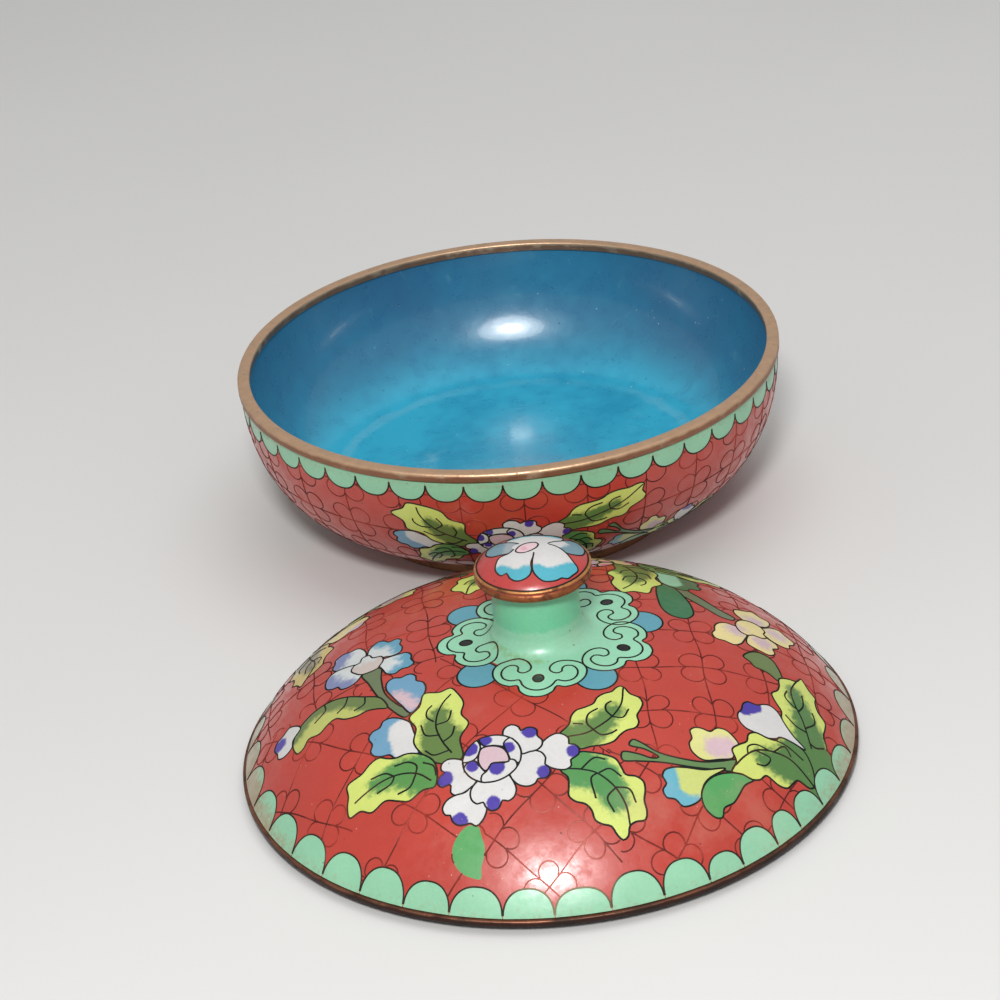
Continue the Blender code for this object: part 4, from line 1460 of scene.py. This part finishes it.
BOWL_TOP_RADIUS, _, _, BOWL_TOP = turned_box(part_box("bowl_body"))
LIP, BOWL_Y, LIP_LOW, LIP_TOP = turned_box(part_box("bowl_lip_ring"))
BOWL_WALL = 2.0
FLOOR = 51.0
FLOOR_HEIGHT = 8.2
FLOOR_DISH = 1.3
WALL_ROUNDNESS = (2.2, 1.9)
WALL_ROUND = 64.0
INSIDE_FOOT = FLOOR - 5.0
LINING_BLUE = (46, 150, 180)
SPRAY_MIDDLE = 50
SPRAY_MIDDLE_TURN = 262
SPRAY_GROW = 0.74
SPRAY_RISE = 0.52
LIP_LAPPETS = 46
LIP_LAPPET_DEPTH = 4.6
LIP_GRIME = 2.0
LIP_MARGIN = 1.0
TURN_RINGS = 7
TURN_STEP = 1.6
TURN_SIDES = 160
BARE_WITHIN = FLOOR - 4.0
BOWL_COLUMNS = 28
BOWL_ROWS = 4
BOWL_ROW_PITCH = 13.0


def bowl_wall(count):
    """(radius, height) along the wall's outer face, from the lip to the floor."""
    drop = np.sin(np.linspace(0, math.pi / 2, count))
    spread = (1 - drop ** WALL_ROUNDNESS[0]) ** (1 / WALL_ROUNDNESS[1])
    height = BOWL_TOP - (BOWL_TOP - FLOOR_HEIGHT) * drop
    return np.column_stack([FLOOR + (BOWL_TOP_RADIUS - FLOOR) * spread, height])


def bowl_floor(radii, lift=0.0):
    """(radius, height) across the dished floor."""
    return np.column_stack([radii, FLOOR_HEIGHT + lift - FLOOR_DISH * (1 - (radii / FLOOR) ** 2)])


outside_line = np.vstack([bowl_wall(300), bowl_floor(np.linspace(FLOOR, 0, 80)[1:])])[::-1]
outside_length = lengths_along(outside_line)
BOWL_REACH = outside_length[-1]
WALL_LENGTH = BOWL_REACH - FLOOR


def bowl_section(reach):
    """(radius, height) on the bowl's outside for a length along it from the middle of its base.

    Past the lip the wall carries on straight up.
    """
    radius = np.interp(reach, outside_length, outside_line[:, 0])
    height = np.interp(reach, outside_length, outside_line[:, 1])
    return radius, height + np.maximum(reach - BOWL_REACH, 0)


def round_the_wall(turn):
    """Bends the lid's spray round the bowl's wall, its middle at that turn in degrees."""
    def place(points):
        angle = np.degrees(np.arctan2(points[:, 1], points[:, 0])) % 360 - SPRAY_MIDDLE_TURN
        angle = math.radians(turn) + np.radians(angle) * SPRAY_MIDDLE * SPRAY_GROW / WALL_ROUND
        middle = FLOOR + WALL_LENGTH * SPRAY_RISE
        return round_points(angle, middle - (reach_of(points) - SPRAY_MIDDLE) * SPRAY_GROW)
    return place


bowl_drawing = Drawing(INNERMOST, BOWL_REACH, bowl_section, BOWL_Y, side=-1)
for turn, leaves in ((270, (LEAF_EDGE, LEAF_HEART)), (390, (OCHRE, OLIVE)), (510, (LEAF_EDGE, LEAF_HEART))):
    bowl_drawing.move_to(round_the_wall(turn), SPRAY_GROW)
    lay_spray(bowl_drawing, leaves=leaves)
bowl_drawing.move_to()
lip_joints = [360 * k / LIP_LAPPETS for k in range(LIP_LAPPETS)]
lay_lappets(bowl_drawing, BOWL_REACH - LIP_MARGIN, lip_joints, [LIP_LAPPET_DEPTH] * LIP_LAPPETS, LIP_GRIME)
bowl_drawing.lay(ring_points(INSIDE_FOOT, count=64), LINING_BLUE, wired=False)
bowl_rings = [(PINHOLE, PINHOLE_SIDES)]
bowl_rings += [(INSIDE_FOOT + TURN_STEP * step, TURN_SIDES) for step in range(TURN_RINGS)]
bowl_rings += [(BOWL_REACH, EDGE_SIDES)]
bowl_enamel = enamel_skin("bowl_enamel", bowl_drawing, bowl_rings, picture_enamel("bowl_picture_enamel"),
                          ground=RED, open_from=1.0)
settle(bowl_enamel, "red_enamel_bowl", "bowl_body")
bowl_runs = bowl_drawing.runs(bowl_drawing.wires + bowl_drawing.scallops)
bowl_wires = wire_piece("bowl_outline_wires", bowl_drawing, bowl_runs, WIRE_WIDTH, FINE_WIRE_SIDES,
                        outline_metal)
settle(bowl_wires, "red_enamel_bowl")


def bowl_from_flat(points):
    """The wall's skin laid flat as a strip, round by up from the floor, to the drawing."""
    return round_points(points[:, 0] / WALL_ROUND, FLOOR + points[:, 1])


strip_length = 2 * math.pi * WALL_ROUND
strip_round = np.linspace(0, strip_length, 600)
strip_up = np.linspace(0, WALL_LENGTH, 60)
strip_columns = [strip_length * column / BOWL_COLUMNS for column in range(BOWL_COLUMNS)]
strip_rows = [(row + 0.3) * BOWL_ROW_PITCH for row in range(BOWL_ROWS)]
bowl_lines = []
for x in strip_columns:
    for y in strip_rows:
        bowl_lines += lobes(np.array([x, y]))
    bowl_lines.append(np.column_stack([np.full(len(strip_up), x), strip_up]))
for y in strip_rows:
    bowl_lines.append(np.column_stack([strip_round, np.full(len(strip_round), y)]))
bowl_lattice_runs = ground_runs(bowl_drawing, [bowl_from_flat(line) for line in bowl_lines],
                                lambda points: reach_of(points) < BARE_WITHIN)
bowl_lattice = wire_piece("bowl_ground_wires", bowl_drawing, bowl_lattice_runs, LATTICE_WIDTH,
                          FINE_WIRE_SIDES, lattice_metal)
settle(bowl_lattice, "red_enamel_bowl")

# ---- The bowl's lining ----------------------------------------------------------------------
# Plain turquoise enamel over the whole inside. The wall drops steeply to a soft crease round the floor,
# which carries a pale ring of painted highlight; towards the lip the colour darkens to a dusky blue as
# painted shade.

inside_wall = offset_section(bowl_wall(60), -BOWL_WALL)
inside_wall = inside_wall[inside_wall[:, 0] > FLOOR - 1.0]
inside_wall[0] = (BOWL_TOP_RADIUS - BOWL_WALL, BOWL_TOP)
inside_floor = bowl_floor(np.linspace(FLOOR - 1.6, 0, 40), BOWL_WALL)
# The edge colour is painted shade, darker towards the lip.
bowl_lining_finish = plain_enamel(
    "bowl_lining_enamel", BOWL_Y, pale=(48, 165, 195), deep=(36, 143, 176), painted_shade=(52, 84, 122),
    from_radius=55, to_radius=70, strength=0.86, crease=FLOOR)
bowl_lining = turned("bowl_lining", np.vstack([inside_wall, inside_floor])[::-1], BOWL_Y,
                     bowl_lining_finish, sides=224, facing=1)
settle(bowl_lining, "red_enamel_bowl")

# ---- The bowl's lip -------------------------------------------------------------------------
# A flat brass ring soldered on the wall's edge and filed level, its corners eased by handling.
# It is a satin tan, painted brighter on top as painted highlight, with pale deposits here and there.

LIP_INSIDE = LIP - 3.4
lip_section = rounded_section([
    (LIP_INSIDE, LIP_TOP, 0.5), (LIP, LIP_TOP, 0.9), (LIP, LIP_LOW, 0.3), (LIP_INSIDE, LIP_LOW, 0.2),
])
# The lighter tan above 44.8 mm is a painted highlight on the lip's top.
lip_brass = aged_metal(
    "lip_brass", lower=(140, 98, 74), upper=(206, 168, 134), upper_from=44.8, upper_at=45.8,
    dirt=(170, 150, 126), dirt_share=0.35)
bowl_lip = turned("bowl_lip", lip_section, BOWL_Y, lip_brass, sides=320, uneven=0.08, bands=4)
settle(bowl_lip, "aged_brass_lip", "bowl_lip_ring")

# ---- The bowl's foot ------------------------------------------------------------------------
# A short brass ring soldered under the floor and splayed a little. It is worn bright where it
# stands, and is browner and stained above.

FOOT, _, _, FOOT_TOP = turned_box(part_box("bowl_foot_ring"))
FOOT_SPLAY = 1.0
FOOT_INSIDE = FOOT - 2.6
foot_section = rounded_section([
    (FOOT - FOOT_SPLAY, FOOT_TOP, 0), (FOOT, 0, 0.6), (FOOT_INSIDE, 0, 0.6), (FOOT_INSIDE, FOOT_TOP, 0),
])
foot_brass = aged_metal(
    "foot_brass", lower=(150, 104, 72), upper=(120, 82, 56), upper_from=1.0, upper_at=4.0,
    dirt=(70, 58, 44), dirt_share=0.5)
bowl_foot = turned("bowl_foot", foot_section, BOWL_Y, foot_brass, sides=240, uneven=0.04, bands=4)
settle(bowl_foot, "aged_brass_foot", "bowl_foot_ring")

# ---- Table, light and camera ----------------------------------------------------------------
# A pale studio table, a softbox in front of and above the lid with a wider glow that only the
# polish shows, a fill overhead and a grey room. The camera looks down on the pair from in front.

TABLE_HALF = 3.0
ROOM_GREY = (0.85, 0.87, 0.9, 1)
ROOM_STRENGTH = 0.45
KEY_RISE = math.radians(45.2)
KEY_SIDE = math.radians(-4.4)
GLOW_AWAY = 1.02
LID_MIDDLE_HEIGHT = 0.03
CAMERA_PLACE = (-0.0061, -0.685, 0.3995)
CAMERA_DOWN = 28.06
CAMERA_ROLL = -5.7

table_mesh = bpy.data.meshes.new("table")
corners = [(x * TABLE_HALF, y * TABLE_HALF, 0) for x, y in ((-1, -1), (1, -1), (1, 1), (-1, 1))]
table_mesh.from_pydata(corners, [], [(0, 1, 2, 3)])
table = new_piece("table", table_mesh)
table_finish, table_bench, table_place = new_finish("pale_table", roughness=0.8, specular_ior_level=0.15)
cloudiness = table_bench.noise(table_place, 3, 2.0)
table_bench.feed(base_color=table_bench.mix(cloudiness, (0.62, 0.61, 0.59), (0.7, 0.69, 0.67)))
table_mesh.materials.append(table_finish)
table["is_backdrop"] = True


def softbox(name, size, power, place, target, mirrored=True, lighting=True):
    """A round lamp that faces its target. It can be kept out of reflections, or be seen only there."""
    lamp = bpy.data.lights.new(name, "AREA")
    lamp.shape = "DISK"
    lamp.size = size
    lamp.energy = power
    piece = new_piece(name, lamp)
    piece.visible_glossy = mirrored
    piece.visible_diffuse = lighting
    piece.location = place
    x, y, z = np.array(target) - np.array(place)
    piece.rotation_euler = (math.atan2(math.hypot(x, y), -z), 0, math.atan2(-x, y))


lid_middle = np.array([0, LID_Y * MM, LID_MIDDLE_HEIGHT])
key_level = math.cos(KEY_RISE) * np.array([math.sin(KEY_SIDE), -math.cos(KEY_SIDE)])
key_way = np.append(key_level, math.sin(KEY_RISE))
softbox("key", size=0.17, power=7.4, place=lid_middle + key_way, target=lid_middle)
softbox("glow", size=0.56, power=5.5, place=lid_middle + GLOW_AWAY * key_way, target=lid_middle,
        lighting=False)
softbox("overhead", size=1.2, power=6.0, place=(0.2, 0.2, 1.3), target=(0, 0, 0), mirrored=False)
world = bpy.data.worlds.new("grey_room")
world.use_nodes = True
room = world.node_tree.nodes["Background"]
room.inputs["Color"].default_value = ROOM_GREY
room.inputs["Strength"].default_value = ROOM_STRENGTH
scene = bpy.context.scene
scene.world = world
scene.view_settings.view_transform = "Standard"

lens = bpy.data.cameras.new("camera")
lens.lens = 108
lens.sensor_width = 36
lens.clip_start = 0.05
camera = new_piece("camera", lens)
camera.location = CAMERA_PLACE
tilt = Quaternion((1, 0, 0), math.radians(90 - CAMERA_DOWN))
roll = Quaternion((0, 0, 1), math.radians(CAMERA_ROLL))
camera.rotation_mode = "QUATERNION"
camera.rotation_quaternion = tilt @ roll
scene.camera = camera

looks_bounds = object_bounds()
[[list(corner) for corner in box] for box in (cad_bounds, looks_bounds)]
